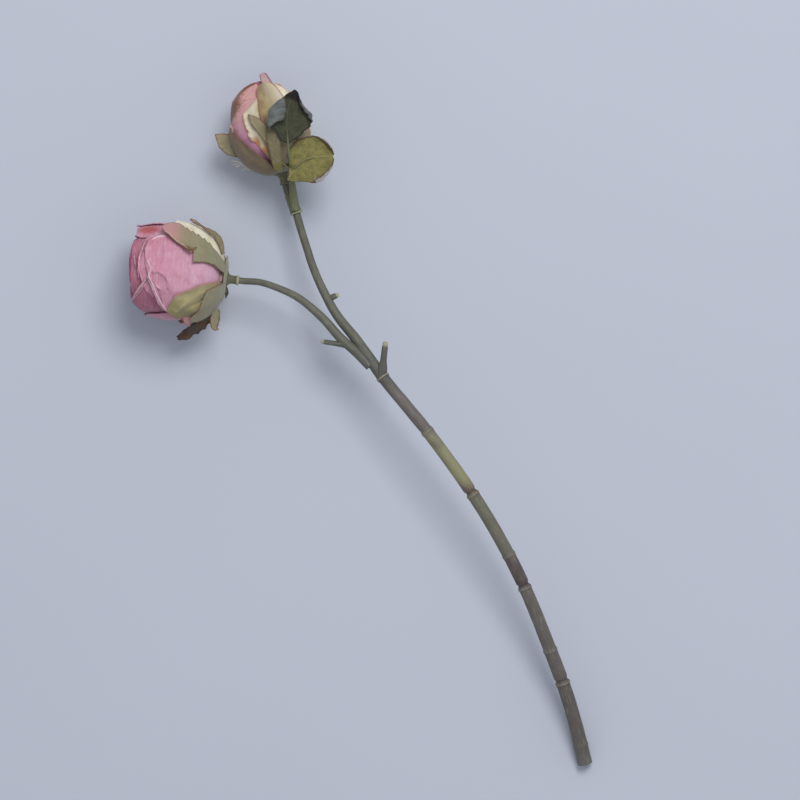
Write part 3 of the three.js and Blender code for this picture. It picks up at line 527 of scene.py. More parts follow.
# the pink burn colour also paints the shade along the front petal's creases
pinkDye = {
    "foot": colour(208, 163, 183), "crown": colour(198, 134, 155), "turnOver": (0.05, 0.95),
    "tone": colour(156, 88, 108), "blotch": colour(187, 122, 140), "blotchShare": 0.55,
    "streak": colour(226, 196, 208), "streakShare": 0.42, "vein": colour(184, 122, 146), "veinShare": 0.3,
    "rim": colour(126, 52, 84), "rimWide": 0.7, "rimShare": 0.8, "burn": colour(170, 80, 80),
    "pale": colour(224, 194, 202), "paleShare": 0.85, "burnAndShadeBreak": 0.4, "burnAndShadeEdge": (0.15, 0.75),
}
pinkInnerDye = dict(
    pinkDye, foot=colour(176, 96, 112), crown=colour(170, 96, 118), rimShare=0.9, streakShare=0.2,
)
smallPinkDye = dict(
    pinkDye, foot=colour(206, 146, 178), crown=colour(204, 152, 146), turnOver=(0.3, 0.72),
    tone=colour(120, 52, 72), burn=colour(118, 76, 50), streakShare=0.25, burnAndShadeBreak=0.6, burnAndShadeEdge=(0.3, 0.72),
    rim=colour(136, 62, 92), blotch=colour(190, 134, 148),
)
lipDye = dict(
    pinkDye, foot=colour(198, 158, 170), crown=colour(190, 144, 160), rim=colour(146, 92, 112), rimWide=0.4,
    streakShare=0.3,
)
tipDye = dict(
    pinkDye, foot=colour(192, 166, 152), crown=colour(184, 152, 154), blotch=colour(172, 138, 136),
    rim=colour(142, 86, 116), rimWide=0.6, streakShare=0.2,
)
creamDye = {
    "foot": colour(226, 221, 198), "crown": colour(234, 228, 206), "turnOver": (0.1, 0.8),
    "tone": colour(142, 131, 86), "blotch": colour(186, 172, 116), "blotchShare": 0.5,
    "streak": colour(232, 226, 200), "streakShare": 0.14, "vein": colour(146, 128, 80), "veinShare": 0.5,
    "rim": colour(168, 116, 112), "rimWide": 1.5, "rimShare": 0.75, "burn": colour(194, 128, 116),
    "pale": colour(236, 230, 208), "paleShare": 0.7, "burnAndShadeBreak": 0.3, "burnAndShadeEdge": (0.05, 0.95),
}
creamInnerDye = dict(creamDye, foot=colour(190, 170, 130), crown=colour(196, 170, 140))
smallCreamDye = dict(
    creamDye, tone=colour(130, 108, 78), burn=colour(196, 134, 84), rim=colour(170, 116, 88),
    vein=colour(176, 146, 92),
)
sepalDye = {
    "foot": colour(134, 132, 107), "crown": colour(148, 135, 107), "turnOver": (0.1, 0.9),
    "tone": colour(114, 90, 69), "blotch": colour(124, 117, 86), "blotchShare": 0.55,
    "streak": colour(170, 162, 136), "streakShare": 0.28, "vein": colour(116, 108, 76), "veinShare": 0.35,
    "rim": colour(110, 74, 56), "rimWide": 0.75, "rimShare": 0.75, "burn": colour(190, 138, 138),
    "pale": colour(200, 182, 144), "paleShare": 0.75, "burnAndShadeBreak": 0.25, "burnAndShadeEdge": (0.0, 1.0),
}
darkSepalDye = dict(
    sepalDye, foot=colour(92, 88, 76), crown=colour(78, 62, 54), tone=colour(56, 46, 40),
    burn=colour(58, 44, 38), streak=colour(120, 104, 90), rim=colour(64, 44, 38), blotch=colour(104, 78, 58),
    blotchShare=0.7,
)
neckDye = dict(
    sepalDye, foot=colour(100, 99, 78), crown=colour(100, 99, 78), blotch=colour(84, 80, 60),
    streak=colour(136, 134, 108), streakShare=0.2, pale=colour(178, 176, 150),
)
pinkCloth = dyedCloth("dustyPinkCloth", pinkDye)
pinkInside = dyedCloth("deepPinkCloth", pinkInnerDye)
smallPinkCloth = dyedCloth("mauvePinkCloth", smallPinkDye)
creamCloth = dyedCloth("creamCloth", creamDye)
creamInside = dyedCloth("creamClothBack", creamInnerDye)
smallCreamCloth = dyedCloth("tanCreamCloth", smallCreamDye)
sepalCloth = dyedCloth("oliveSepalCloth", sepalDye)
darkSepalCloth = dyedCloth("brownSepalCloth", darkSepalDye)
neckCloth = dyedCloth("oliveNeckCloth", neckDye)
lipCloth = dyedCloth("palePinkCloth", lipDye)
tipCloth = dyedCloth("beigePinkCloth", tipDye)
print("cloth dyed")


# large bud
largeBud = {
    "seat": (-69.7, 71.0, 25.9), "heading": 173, "girth": 24.5, "belly": 24, "cup": 2.2,
    "length": 46, "mouth": 20.5, "close": 2.2, "stalk": 1.6, "mouthTilt": 1.3,
}
largePetals = [
    {  # broad front petal
        "low": [
            (-0.6, -22), (2, -26), (8, -44), (17, -56), (22, -60), (24.8, -54), (29.7, -34), (34.1, -15),
            (35.3, -11), (37.4, 3), (38.5, 22),
        ],
        "high": [(-0.6, 20), (2, 24), (8, 40), (18, 50), (28.4, 48), (33.4, 46.5), (37.1, 40), (38.5, 26)],
        "lift": 0.0, "rows": 120, "columns": 100, "wrinkle": 0.4, "pleat": 0.14, "tone": 0.0, "least": 8.6,
        "rollLow": (1.2, 22, 36), "rollHigh": (0.4, 27, 37), "rollWide": 1.0,
        # ridges: line, size, width, show; a show below zero paints shade along the crease, above zero paints a
        # highlight on the crest
        "ridges": [
            ([(36.8, 3.8), (34.6, 0.2), (35.2, -4.6)], 0.9, 0.55, 0.9),
            ([(33.4, -1.4), (30.7, -1.0), (27.4, -2.6), (25.1, -5.3), (25.0, -8.4)], 1.1, 0.6, -0.26),
            ([(35.3, -4.6), (31.5, -8.0), (29.0, -9.0)], 0.7, 0.6, 0.8),
            ([(31.5, 13.8), (30, 8.2), (30.8, 3.5)], -0.5, 1.2, -0.16),
            ([(17.6, 9.7), (16.6, 2), (16.2, -5.5)], -0.6, 1.3, -0.2),
        ],
        "dents": [
            ((29.4, -14), 2.8, 8.0, 0.7, 0.0), ((35, 36), 4.0, 10.0, 0.0, 0.34),
            ((33.0, 22), 3.2, 11.0, 1.0, 0.0), ((24, 14), 4.0, 9.0, 0.6, 0.0), ((17, 2), 2.2, 16.0, 0.5, 0.0),
        ],
        "flare": [(-0.6, 1.9), (6, 1.9), (13, 0.9), (20, 0.0)],
    },
    {  # dusky petal low on the mouth
        "low": [(0.3, -70), (25, -86), (34, -80), (38, -74), (40.5, -67), (43.4, -58)],
        "high": [(0.3, -12), (28, -10), (35.3, -12), (38.0, -24), (41, -38), (42.6, -47), (43.4, -54)],
        "lift": -1.3, "tone": 0.85, "rollHigh": (0.8, 33, 45), "wrinkle": 0.3, "rows": 70, "columns": 48,
        "fray": 0.6,
    },
    {  # second layer behind the front petal
        "low": [(0.3, -40), (30, -44), (36, -30), (39, -16), (40.8, -4), (41.3, 5)],
        "high": [(0.3, 40), (26, 45), (30, 48), (36, 49), (38.6, 44), (40.2, 30), (41.3, 13)],
        "lift": -1.2, "tone": 0.2, "paleRoll": 0.6, "rollLow": (0.5, 34, 44), "rollHigh": (0.6, 30, 44),
        "rollTop": (0.6, 30, 46),
        "wrinkle": 0.4, "rows": 70, "columns": 60, "fray": 0.5, "dents": [((40, 28), 4.0, 9.0, 0.9, 0.0)],
    },
    {  # third layer
        "low": [(0.3, -60), (34, -66), (40, -58), (43.4, -44), (44.8, -25), (45.8, 0)],
        "high": [(0.3, 40), (34, 50), (41, 50), (44.4, 46), (45.2, 30), (45.8, 12)],
        "lift": -2.2, "tone": 0.75, "topGap": -0.7, "paleRoll": 0.3, "rollTop": (0.5, 30, 48), "wrinkle": 0.5,
        "rows": 60, "columns": 60, "fray": 0.7,
    },
    {  # floor of the hollow at the upper corner of the mouth
        "low": [(0.3, 40), (28, 44), (36, 46), (41, 47), (43.4, 54)],
        "high": [(0.3, 96), (28, 98), (36, 98), (41, 96), (43.4, 92)],
        "lift": -0.9, "tone": 0.1, "rows": 60, "columns": 60, "fray": 0.4, "wrinkle": 0.3,
        "dents": [((38.0, 56), 8.5, 10.0, 2.0, 0.0), ((38.5, 67), 7.5, 11.0, 0.0, 0.72)],
    },
    {  # petal outside it, its free edge turned over
        "low": [(0.3, 60), (24, 65), (28, 68), (33, 74), (38, 76), (42, 77), (44.0, 82)],
        "high": [(0.3, 116), (30, 122), (40, 112), (44.0, 94)],
        "lift": -0.35, "tone": 0.05, "rows": 70, "columns": 60, "fray": 0.4, "wrinkle": 0.3,
        "rollLow": (0.4, 24, 46), "rollTop": (0.4, 36, 47), "paleRoll": 0.5, "rollWide": 1.0,
    },
    dict(plainEdges(135, 46, 41, 0.3), lift=-0.3, tone=0.3, fray=0.6, rollTop=(0.7, 28, 44), wrinkle=0.5),
    dict(plainEdges(195, 48, 40, 0.3), lift=-0.9, tone=0.4, fray=0.6, rollTop=(0.6, 28, 44), wrinkle=0.5),
    dict(plainEdges(-98, 40, 37, 0.3), lift=-0.5, tone=0.3, fray=0.6, rollTop=(0.7, 28, 44), wrinkle=0.5),
]
largeWhorls = [
    {"share": 0.79, "count": 5, "turn": 18, "spread": 50, "crown": 45.0},
    {"share": 0.66, "count": 5, "turn": 52, "spread": 48, "crown": 45.2},
    {"share": 0.5, "count": 4, "turn": 20, "spread": 58, "crown": 45.0},
    {"share": 0.34, "count": 4, "turn": 64, "spread": 62, "crown": 44.2},
    {"share": 0.19, "count": 3, "turn": 10, "spread": 76, "crown": 43.4},
]


# rings of smaller petals further in, each closer to the axis
def whorlBlades(whorls, foot, seed):
    rng = np.random.default_rng(seed)
    blades = []
    for whorl in whorls:
        for k in range(whorl["count"]):
            turn = whorl["turn"] + 360 / whorl["count"] * k
            crown = whorl["crown"] - rng.uniform(0, 1.6)
            blade = plainEdges(turn, whorl["spread"], crown, foot, claw=0.9, point=0.35)
            blade.update(share=whorl["share"], lift=-0.45 * (k % 3), tone=rng.uniform(0.2, 0.75))
            blade.update(
                rollTop=(0.45, 30, 60), paleRoll=0.45, wrinkle=0.5, fray=0.8, rows=26, columns=34, least=0.5,
            )
            blades.append(blade)
    return blades


# the core that carries the petals: the outline drawn in, closed by a dome
def coreGrid(bud, inset, domeFrom, domeTo):
    low = np.linspace(0.2, domeFrom, 30)
    rise = np.linspace(0.05, 1, 16)
    shoulder = float(outlineRadius(bud, np.array(domeFrom))) - inset
    profile = np.concatenate([
        np.stack([np.maximum(1.9, outlineRadius(bud, low) - inset), low], -1),
        np.stack([shoulder * np.sqrt(1 - rise ** 2), domeFrom + (domeTo - domeFrom) * rise], -1),
    ])
    return turnedGrid(bud, profile, fields={"tone": 0.9, "along": 0.3})


def petalGrids(bud, blades, seed):
    return [bladeGrid(bud, blade, seed + 10 * k) for k, blade in enumerate(blades)]


largeHeart = petalGrids(largeBud, largePetals, 100)
makePiece("largePinkPetals", largeHeart, [pinkCloth, pinkInside], ["large_petals"], wall=0.35)
largeInner = petalGrids(largeBud, whorlBlades(largeWhorls, 24, 5), 300)
largeInner.append(coreGrid(largeBud, 2.6, 30, 39))
makePiece("largeInnerPetals", largeInner, [pinkInside, pinkInside], ["large_petals"], wall=0.3)

largeGuards = [
    {  # cream petal at the upper shoulder
        "low": [(-1.2, 38), (4, 42), (12, 46), (20, 54), (24, 60), (26, 68)],
        "high": [(-1.2, 108), (8, 112), (18, 108), (23, 98), (26, 82)],
        "lift": 1.4, "tone": 0.0, "fray": 1.0, "wrinkle": 0.3, "rows": 60, "rollTop": (0.3, 20, 30),
        "turn": 70,
    },
    {  # cream-green petal below the front petal
        "low": [(-1.2, -60), (6, -70), (14, -72), (20, -64), (24.6, -53)],
        "high": [
            (-1.2, -8), (6.2, -10), (10, -13), (13.7, -18), (18, -23), (21.2, -28), (23.4, -40), (24.6, -48),
        ],
        "lift": 1.4, "tone": 1.0, "toneHigh": 0.75, "fray": 0.8, "wrinkle": 0.95, "pleat": 0.22,
        "rollHigh": (0.5, 2, 25), "paleRoll": 0.3,
        "rows": 80, "columns": 60, "turn": -40,
        # the first ridge's show paints a highlight along its crest
        "ridges": [
            ([(2, -5.5), (9, -9), (16, -15), (20, -19.5)], 0.9, 1.1, 0.4),
            ([(7, -12.5), (13, -16.5), (18, -20)], -0.7, 0.9, 0.0),
            ([(11, -11), (17, -15.5)], -0.4, 0.8, 0.0),
        ],
    },
    dict(plainEdges(-84, 15, 16.5, -1.2, 0.8, 0.15), lift=1.2, tone=0.55, fray=0.8, burnTip=(0.55, 1.0)),
    dict(plainEdges(180, 44, 33, -1.2), lift=1.5, tone=0.1, fray=1.0, wrinkle=0.3),
    dict(plainEdges(128, 30, 31, -1.2), lift=1.2, tone=0.2, fray=1.0, wrinkle=0.4),
    dict(plainEdges(-118, 32, 19, -1.2), lift=1.2, tone=0.3, fray=1.0, wrinkle=0.4),
]


# a thin cup round the bud's foot, from the wire out to a level
def cupGrid(bud, lift, top, tone):
    level = np.linspace(-lift + 0.02, top, 14)
    profile = np.stack([np.maximum(1.4, shellRadius(bud, level, lift)), level], -1)
    profile = np.concatenate([[[1.2, -lift - 0.05]], profile])
    return turnedGrid(bud, profile, fields={"tone": tone, "along": 0.1})


largePale = petalGrids(largeBud, largeGuards, 500) + [cupGrid(largeBud, 1.3, -0.5, 0.2)]
makePiece(
    "largeCreamPetals", largePale, [creamCloth, creamInside], ["large_guards"], wall=0.35,
)

largeSepals = [
    {  # broad torn sepal over the upper half
        "low": [
            (-2.5, 12), (0, 12), (3.8, 16.5), (8.4, 16), (14.2, 12.5), (14.7, 27), (15.5, 22.5), (19.8, 28),
            (23.6, 32), (26.8, 38), (30.1, 44), (32, 54),
        ],
        "high": [
            (-2.5, 36), (-0.2, 37), (5.4, 42), (7.6, 47), (8.4, 44.5), (10.4, 49.5), (11.2, 46.5), (13.6, 52),
            (14.4, 49), (16.6, 54.5), (17.4, 51.8), (19.6, 57.5), (20.4, 56), (23.8, 64), (27.3, 65), (30, 62),
            (32, 57),
        ],
        "lift": 2.5, "tone": 0.0, "rows": 150, "columns": 50, "wrinkle": 0.3, "pleat": 0.08,
        "burnTip": (0.5, 1.0), "rollLow": (0.7, 14.5, 31), "paleRoll": 0.9, "turn": 38,
    },
    {  # olive sepal at the lower shoulder
        "low": [(-2.5, -64), (0, -74), (5, -82), (9, -78), (13, -66)],
        "high": [(-2.5, -12), (-0.4, -13), (3, -16), (5.7, -19), (7.5, -33), (8.7, -48), (13, -60)],
        "lift": 2.6, "tone": 0.0, "rows": 60, "columns": 40, "wrinkle": 0.4, "turn": -45,
        "rollHigh": (0.4, 1, 14), "paleRoll": 0.4,
    },
    dict(plainEdges(148, 20, 22, -2.5, 0.8, 0.1), lift=2.5, tone=0.3, fray=1.2, peel=0.8),
    dict(plainEdges(-140, 18, 18, -2.5, 0.8, 0.1), lift=2.5, tone=0.4, fray=1.2, peel=0.8),
]


# the green neck below a bud: a socket over the branch with a pale rim painted as its highlight, swelling into
# the cup
def neckGrid(bud, glossAndHighlight):
    base = bud["stalk"] + 0.5
    profile = [
        (base - 0.6, -8.55), (base, -8.6), (base + 0.35, -8.35), (base + 0.45, -7.9), (base + 0.35, -7.45),
        (base, -7.15), (base - 0.05, -6), (base, -4.8), (base + 0.3, -4.0), (base + 1.0, -3.3),
        (base + 2.2, -2.7),
    ]
    # the pale ring on the rim is a painted highlight
    rimHighlight = glossAndHighlight * np.array([0.3, 0.8, 1, 1, 0.7, 0.1, 0, 0, 0, 0, 0])[:, None]
    return turnedGrid(bud, profile, fields={"along": 0.0, "pale": rimHighlight})


largeGreen = petalGrids(largeBud, largeSepals, 700) + [cupGrid(largeBud, 2.6, -1.5, 0.05)]
makePiece("largeSepals", largeGreen, [sepalCloth, creamInside], ["large_calyx"], wall=0.4)
makePiece(
    "largeNeck", [neckGrid(largeBud, 1.0)], [neckCloth, neckCloth], ["large_calyx"], wall=0.4,
)


# point on the flat view of a bud: height, sideways, up from the bud's axis
def budSpot(bud, height, sideways, up):
    turn, radius = math.degrees(math.atan2(sideways, up)), math.hypot(sideways, up)
    return budPoints(bud, turn, np.array(float(height)), np.array(radius)).tolist()


# point on a bud's shell, seen at a height and a sideways place
def shellSpot(bud, height, sideways, lift):
    radius = float(shellRadius(bud, np.array(float(height)), lift))
    return budSpot(bud, height, sideways, math.sqrt(max(radius ** 2 - sideways ** 2, 0.0)))


def budLine(bud, spots):
    return [budSpot(bud, height, sideways, up) for height, sideways, up in spots]


def shellLine(bud, lift, spots):
    return [shellSpot(bud, height, sideways, lift) for height, sideways in spots]


# a narrow strip of cloth along a line of points: a leaf with no veins and both edges rolled in
def strip(points, face, halfLeft, halfRight, **more):
    even = [(0, 0.4), (0.15, 0.8), (0.45, 1.0), (0.75, 0.7), (0.92, 0.35), (1, 0.08)]
    leaf = {"rib": points, "face": face, "rollLeft": [(0, 0.5), (1, 0.3)], "rollRight": [(0, 0.5), (1, 0.3)]}
    leaf["left"] = [(place, halfLeft * share) for place, share in even]
    leaf["right"] = [(place, halfRight * share) for place, share in even]
    leaf.update({"rows": 50, "columns": 25, "showVein": 0.0, "notch": 0.1, "teeth": 9, "crumple": 0.5})
    leaf.update(more)
    return leaf


largeCurls = [
    strip(  # thin sepal peeling off the upper shoulder
        budLine(
            largeBud,
            [
                (0.6, 12, 9.0), (2.2, 17.0, 8.0), (4.5, 20.4, 7.0), (7.8, 22.2, 8.0), (12.6, 24.4, 9.4),
                (15.8, 26.0, 9.0), (18.9, 27.5, 8.4),
            ],
        ),
        (-0.1, 0.6, 0.79), 1.6, 1.4, bendLeft=1.6, bendRight=1.8, tone=0.4, darkTip=(0.72, 1.25),
        left=[(0, 0.9), (0.3, 1.9), (0.5, 1.7), (0.62, 0.9), (0.75, 0.5), (0.9, 1.1), (1, 0.5)],
        right=[(0, 0.9), (0.3, 1.5), (0.5, 1.3), (0.62, 0.8), (0.75, 0.5), (0.9, 1.0), (1, 0.5)],
    ),
    strip(  # short sepal with a hooked tip
        budLine(
            largeBud,
            [(0.5, -15.5, 5), (0.8, -19, 4), (0.9, -22.5, 3), (0.2, -25.2, 2.5), (-1.6, -25.6, 2.2)],
        ),
        (0.1, -0.2, 0.95), 2.6, 2.4, bendLeft=2.4, bendRight=2.2,
    ),
    strip(  # browned fold at the tear of the broad sepal
        shellLine(largeBud, 3.2, [(20.2, 13.4), (17.2, 12.4), (15.2, 12.4), (13.3, 13.4)]),
        (0.0, 0.3, 0.95), 0.8, 1.0, bendLeft=0.7, bendRight=0.8, rows=30, columns=17, tone=0.9, crumple=0.25,
    ),
    strip(  # pinkish tip hanging off the lower shoulder
        budLine(largeBud, [(14.8, -21.4, 10.5), (13.8, -23.6, 8.0), (12.8, -26.0, 5.0)]),
        (0.1, -0.5, 0.85), 2.6, 2.4, bendLeft=2.0, bendRight=2.0, rows=30, columns=19, tone=0.6,
        darkTip=(-1.2, 0.3),
        left=[(0, 2.6), (0.4, 2.2), (0.8, 1.0), (1, 0.2)], right=[(0, 2.4), (0.4, 2.2), (0.8, 1.2), (1, 0.2)],
    ),
]
largeDarkCurls = [
    strip(  # dark curled sepal hanging out below
        budLine(
            largeBud,
            [(2.0, -17.5, 3), (6.0, -21.8, -1), (10.0, -25.7, -3), (14.1, -29.2, -5), (18.8, -31.8, -6)],
        ),
        (0.15, -0.35, 0.9), 4.6, 4.2, bendLeft=1.6, bendRight=1.4, notch=0.5, teeth=5, crumple=1.7,
        left=[(0, 2.0), (0.3, 3.2), (0.6, 4.4), (0.8, 3.6), (1, 0.6)],
        right=[(0, 2.0), (0.3, 2.8), (0.6, 4.2), (0.8, 3.8), (1, 0.6)],
    ),
    strip(  # tiny dark hook beside the neck
        budLine(largeBud, [(-2.6, -4.2, 1.5), (-3.4, -7.2, 2.0), (-3.2, -9.8, 1.6)]),
        (0.1, -0.1, 1.0), 0.9, 0.9, bendLeft=0.7, bendRight=0.7, rows=24, columns=15,
    ),
]
curlGrids = [leafGrid(leaf, 800 + k) for k, leaf in enumerate(largeCurls)]
makePiece("largeCurledSepals", curlGrids, [sepalCloth, sepalCloth], ["large_calyx"], wall=0.4)
curlGrids = [leafGrid(leaf, 820 + k) for k, leaf in enumerate(largeDarkCurls)]
makePiece(
    "largeBrownSepals", curlGrids, [darkSepalCloth, darkSepalCloth], ["large_calyx"],
    wall=0.4,
)

largeLips = [
    strip(  # pale turned edge of the front petal
        shellLine(largeBud, 0.9, [(36.1, -3.9), (33.2, -7.3), (30.7, -11.1), (28.6, -15.4), (25.8, -19.8)]),
        (0.1, -0.35, 0.93), 1.1, 1.1, left=[(0, 0.5), (0.3, 1.3), (0.6, 1.5), (1, 0.3)],
        right=[(0, 0.4), (0.4, 1.5), (0.7, 1.2), (1, 0.3)],
    ),
    strip(  # pale turned edge of the dusky petal
        shellLine(largeBud, -0.3, [(35.8, -4.1), (37.9, -7.9), (40.0, -11.5), (42.6, -16.4)]),
        (-0.3, -0.3, 0.9), 0.7, 0.7, left=[(0, 0.5), (0.5, 0.8), (1, 0.5)],
        right=[(0, 0.5), (0.5, 0.8), (1, 0.4)],
    ),
    strip(  # edge of the second layer
        shellLine(largeBud, -0.7, [(38.3, 16.0), (39.7, 11.5), (40.7, 5.4), (40.9, -0.7), (40.0, -5.2)]),
        (-0.3, 0.1, 0.95), 0.6, 0.7, left=[(0, 0.3), (0.5, 0.6), (1, 0.3)],
        right=[(0, 0.3), (0.5, 0.7), (1, 0.3)],
    ),
    strip(  # short fold of the third layer
        shellLine(largeBud, -1.7, [(44.0, 6.9), (43.2, 3.0), (42.0, -0.9)]),
        (-0.3, 0.1, 0.95), 0.5, 0.5, rows=24,
    ),
]
lipFold = {"columns": 17, "crumple": 0.15, "bendLeft": 0.8, "bendRight": 0.8, "notch": 0.04}
lipGrids = [leafGrid(dict(lip, **lipFold), 850 + k) for k, lip in enumerate(largeLips)]
makePiece("largePetalLips", lipGrids, [lipCloth, lipCloth], ["large_petals"], wall=0.3)
print("large bud dressed")


# small bud
smallBud = {
    "seat": (-40.1, 126.5, 20.2), "heading": 105, "girth": 18.8, "belly": 20, "cup": 2.0,
    "length": 45, "mouth": 6, "close": 2.0, "stalk": 1.95, "mouthTilt": 0.0,
}
smallPetals = [
    {  # mauve petal on the open side, scorched along its top
        "low": [
            (0.3, -70), (8, -104), (22, -114), (28, -102), (33, -87), (38, -82), (41, -73), (43, -52),
            (44.2, -32),
        ],
        "high": [(0.3, -6), (8, -8), (20, -10), (30, -6), (38, -2), (42, -2), (43.4, -6), (44.2, -14)],
        "lift": 0.0,
        "flare": [(0, 0.4), (6, 1.0), (20, 1.0), (26, 0.6), (33, 1.9), (38, 3.3), (41.8, 2.2), (44.2, 1.2)],
        "flareOver": (-20, -56),
        "burn": (2.1, 24, 31, [(28, 8.0), (36, 7.5), (42, 3.0)]), "burnLow": True, "rows": 90, "columns": 80,
        "wrinkle": 0.25, "pleat": 0.06, "rollTop": (0.4, 36, 46), "turn": -55,
        "paleRoll": 0.2,
    },
    dict(plainEdges(-122, 44, 40, 0.3), lift=-0.8, tone=0.3, fray=0.6, rollTop=(0.4, 28, 44)),
    dict(plainEdges(35, 52, 41, 0.3), lift=-1.0, tone=0.2, fray=0.5, rollTop=(0.4, 34, 46)),
    dict(plainEdges(110, 48, 41, 0.3), lift=-0.4, tone=0.2, fray=0.6, rollTop=(0.4, 28, 44)),
    dict(plainEdges(180, 46, 40, 0.3), lift=-1.2, tone=0.3, fray=0.6, rollTop=(0.4, 28, 44)),
]
smallWhorls = [
    {"share": 0.84, "count": 4, "turn": -40, "spread": 58, "crown": 44.2},
    {"share": 0.6, "count": 4, "turn": -10, "spread": 60, "crown": 44.6},
    {"share": 0.34, "count": 3, "turn": 15, "spread": 72, "crown": 44.8},
]
smallHeart = petalGrids(smallBud, smallPetals, 1100)
makePiece(
    "smallPinkPetals", smallHeart, [smallPinkCloth, pinkInside], ["small_petals"], wall=0.35,
)
smallInner = petalGrids(smallBud, whorlBlades(smallWhorls, 26, 8), 1300)
smallInner.append(coreGrid(smallBud, 2.6, 28, 43))
makePiece("smallInnerPetals", smallInner, [pinkInside, pinkInside], ["small_petals"], wall=0.3)

smallGuards = [
    {  # broad tan front petal
        "low": [
            (-1.2, -12), (13.1, -10), (26.1, -10), (35.6, -9), (39, -10), (40.6, -8), (41.9, -3), (42.6, 6),
        ],
        "high": [
            (-1.2, 42), (14, 46), (24, 44), (30.2, 41), (35.1, 38), (39, 40), (40.6, 40), (41.9, 34),
            (42.6, 24),
        ],
        "lift": 1.6, "tone": 1.0, "toneHigh": 0.32, "rows": 80, "columns": 50, "wrinkle": 0.3, "turn": 15,
        "rollLow": (0.45, 14, 44), "paleRoll": 0.25,
        "ridges": [([(43, 2), (36, 1.5), (30, 0)], 0.5, 1.0, 0.1), ([(40, 6), (33, 7.5)], 0.35, 1.4, 0.2)],
    },
    {  # yellow petal folded back beside it
        "low": [
            (-1.2, -14), (6.8, -20), (12, -27), (16, -33), (21.3, -34), (25, -37), (29.7, -39), (33, -26),
            (36, -13),
        ],
        "high": [(-1.2, 10), (10, 10), (20, 8), (30, 4), (34, -2), (36, -9)],
        "lift": 0.85, "tone": 0.35, "toneHigh": 0.45, "rows": 90, "columns": 60, "wrinkle": 0.9, "pleat": 0.3,
        "turn": -15, "fray": 0.9, "rollLow": (1.1, 14, 37), "paleRoll": 0.7,
        "dents": [
            ((14.5, -26), 3.2, 6.0, 0.9, 0.9), ((9.5, -19), 2.4, 5.0, -0.6, 1.0),
            ((12, -14), 2.0, 4.0, 0.5, 0.5), ((24, -22), 3.4, 6.0, 1.0, 0.3), ((31, -16), 3.0, 5.0, 0.8, 0.3),
        ],
    },
    {  # cream petal on the leaf side
        "low": [(-1.2, 30), (14, 26), (28, 24), (36, 28), (41.2, 38)],
        "high": [(-1.2, 92), (10, 96), (20, 92), (28, 78), (34, 66), (38, 60), (41.2, 50)],
        "lift": 0.9, "tone": 0.0, "rows": 70, "columns": 50, "wrinkle": 0.45, "turn": 60, "fray": 0.8,
        "rollHigh": (0.5, 16, 41), "paleRoll": 0.7, "burn": (0.9, 28, 36, [(0, 1.8)]),
    },
    dict(plainEdges(180, 46, 31, -1.2), lift=1.5, tone=0.1, fray=1.0),
    dict(plainEdges(-124, 26, 27, -1.2), lift=1.0, tone=0.4, fray=1.0),
    dict(plainEdges(118, 28, 30, -1.2), lift=1.2, tone=0.1, fray=1.0),
]
smallPale = petalGrids(smallBud, smallGuards, 1500) + [cupGrid(smallBud, 1.3, -0.4, 0.3)]
makePiece(
    "smallCreamPetals", smallPale, [smallCreamCloth, creamInside], ["small_guards"],
    wall=0.35,
)

smallSepals = [
    {  # big tan sepal on the open side
        "low": [(-2.5, -72), (1.3, -84), (6, -97), (13, -100), (18, -88), (22, -77), (25.4, -66)],
        "high": [
            (-2.5, -14), (0, -16), (5.9, -24), (10, -31), (14, -39), (18, -47), (22.2, -55), (25.4, -62),
        ],
        "lift": 2.6, "tone": 0.75, "rows": 70, "columns": 50, "wrinkle": 0.4, "turn": -55,
        "rollHigh": (0.45, 4, 26), "paleRoll": 0.25,
        "peel": 0.8, "ridges": [([(23, -18.5), (15, -17.5), (6, -13)], 0.5, 1.3, 0.1)],
    },
    {  # small olive pointed sepal in front
        "low": [(-2.5, -18), (10, -12), (13, -12), (17.2, -16), (22.6, -23), (29, -28)],
        "high": [(-2.5, 6), (10, 2), (16, 0), (20, -3), (24.5, -9), (27, -16), (29, -25)],
        "lift": 2.7, "tone": 0.05, "rows": 60, "columns": 30, "wrinkle": 0.15, "turn": -12,
        "rollLow": (0.3, 8, 29), "paleRoll": 0.3,
    },
    dict(plainEdges(98, 20, 9, -2.5, 0.8, 0.1), lift=2.5, tone=0.2, fray=1.0, peel=0.3),
    dict(plainEdges(146, 18, 19, -2.5, 0.8, 0.1), lift=2.5, tone=0.3, fray=1.0, peel=0.6),
    dict(plainEdges(-150, 18, 18, -2.5, 0.8, 0.1), lift=2.5, tone=0.4, fray=1.0, peel=0.6),
    dict(plainEdges(52, 18, 16, -2.5, 0.8, 0.1), lift=2.5, tone=0.2, fray=1.0, peel=0.4),
]
smallGreen = petalGrids(smallBud, smallSepals, 1700) + [cupGrid(smallBud, 2.6, -0.6, 0.3)]
makePiece("smallSepals", smallGreen, [sepalCloth, creamInside], ["small_calyx"], wall=0.4)
makePiece(
    "smallNeck", [neckGrid(smallBud, 0.3)], [neckCloth, neckCloth], ["small_calyx"], wall=0.4,
)

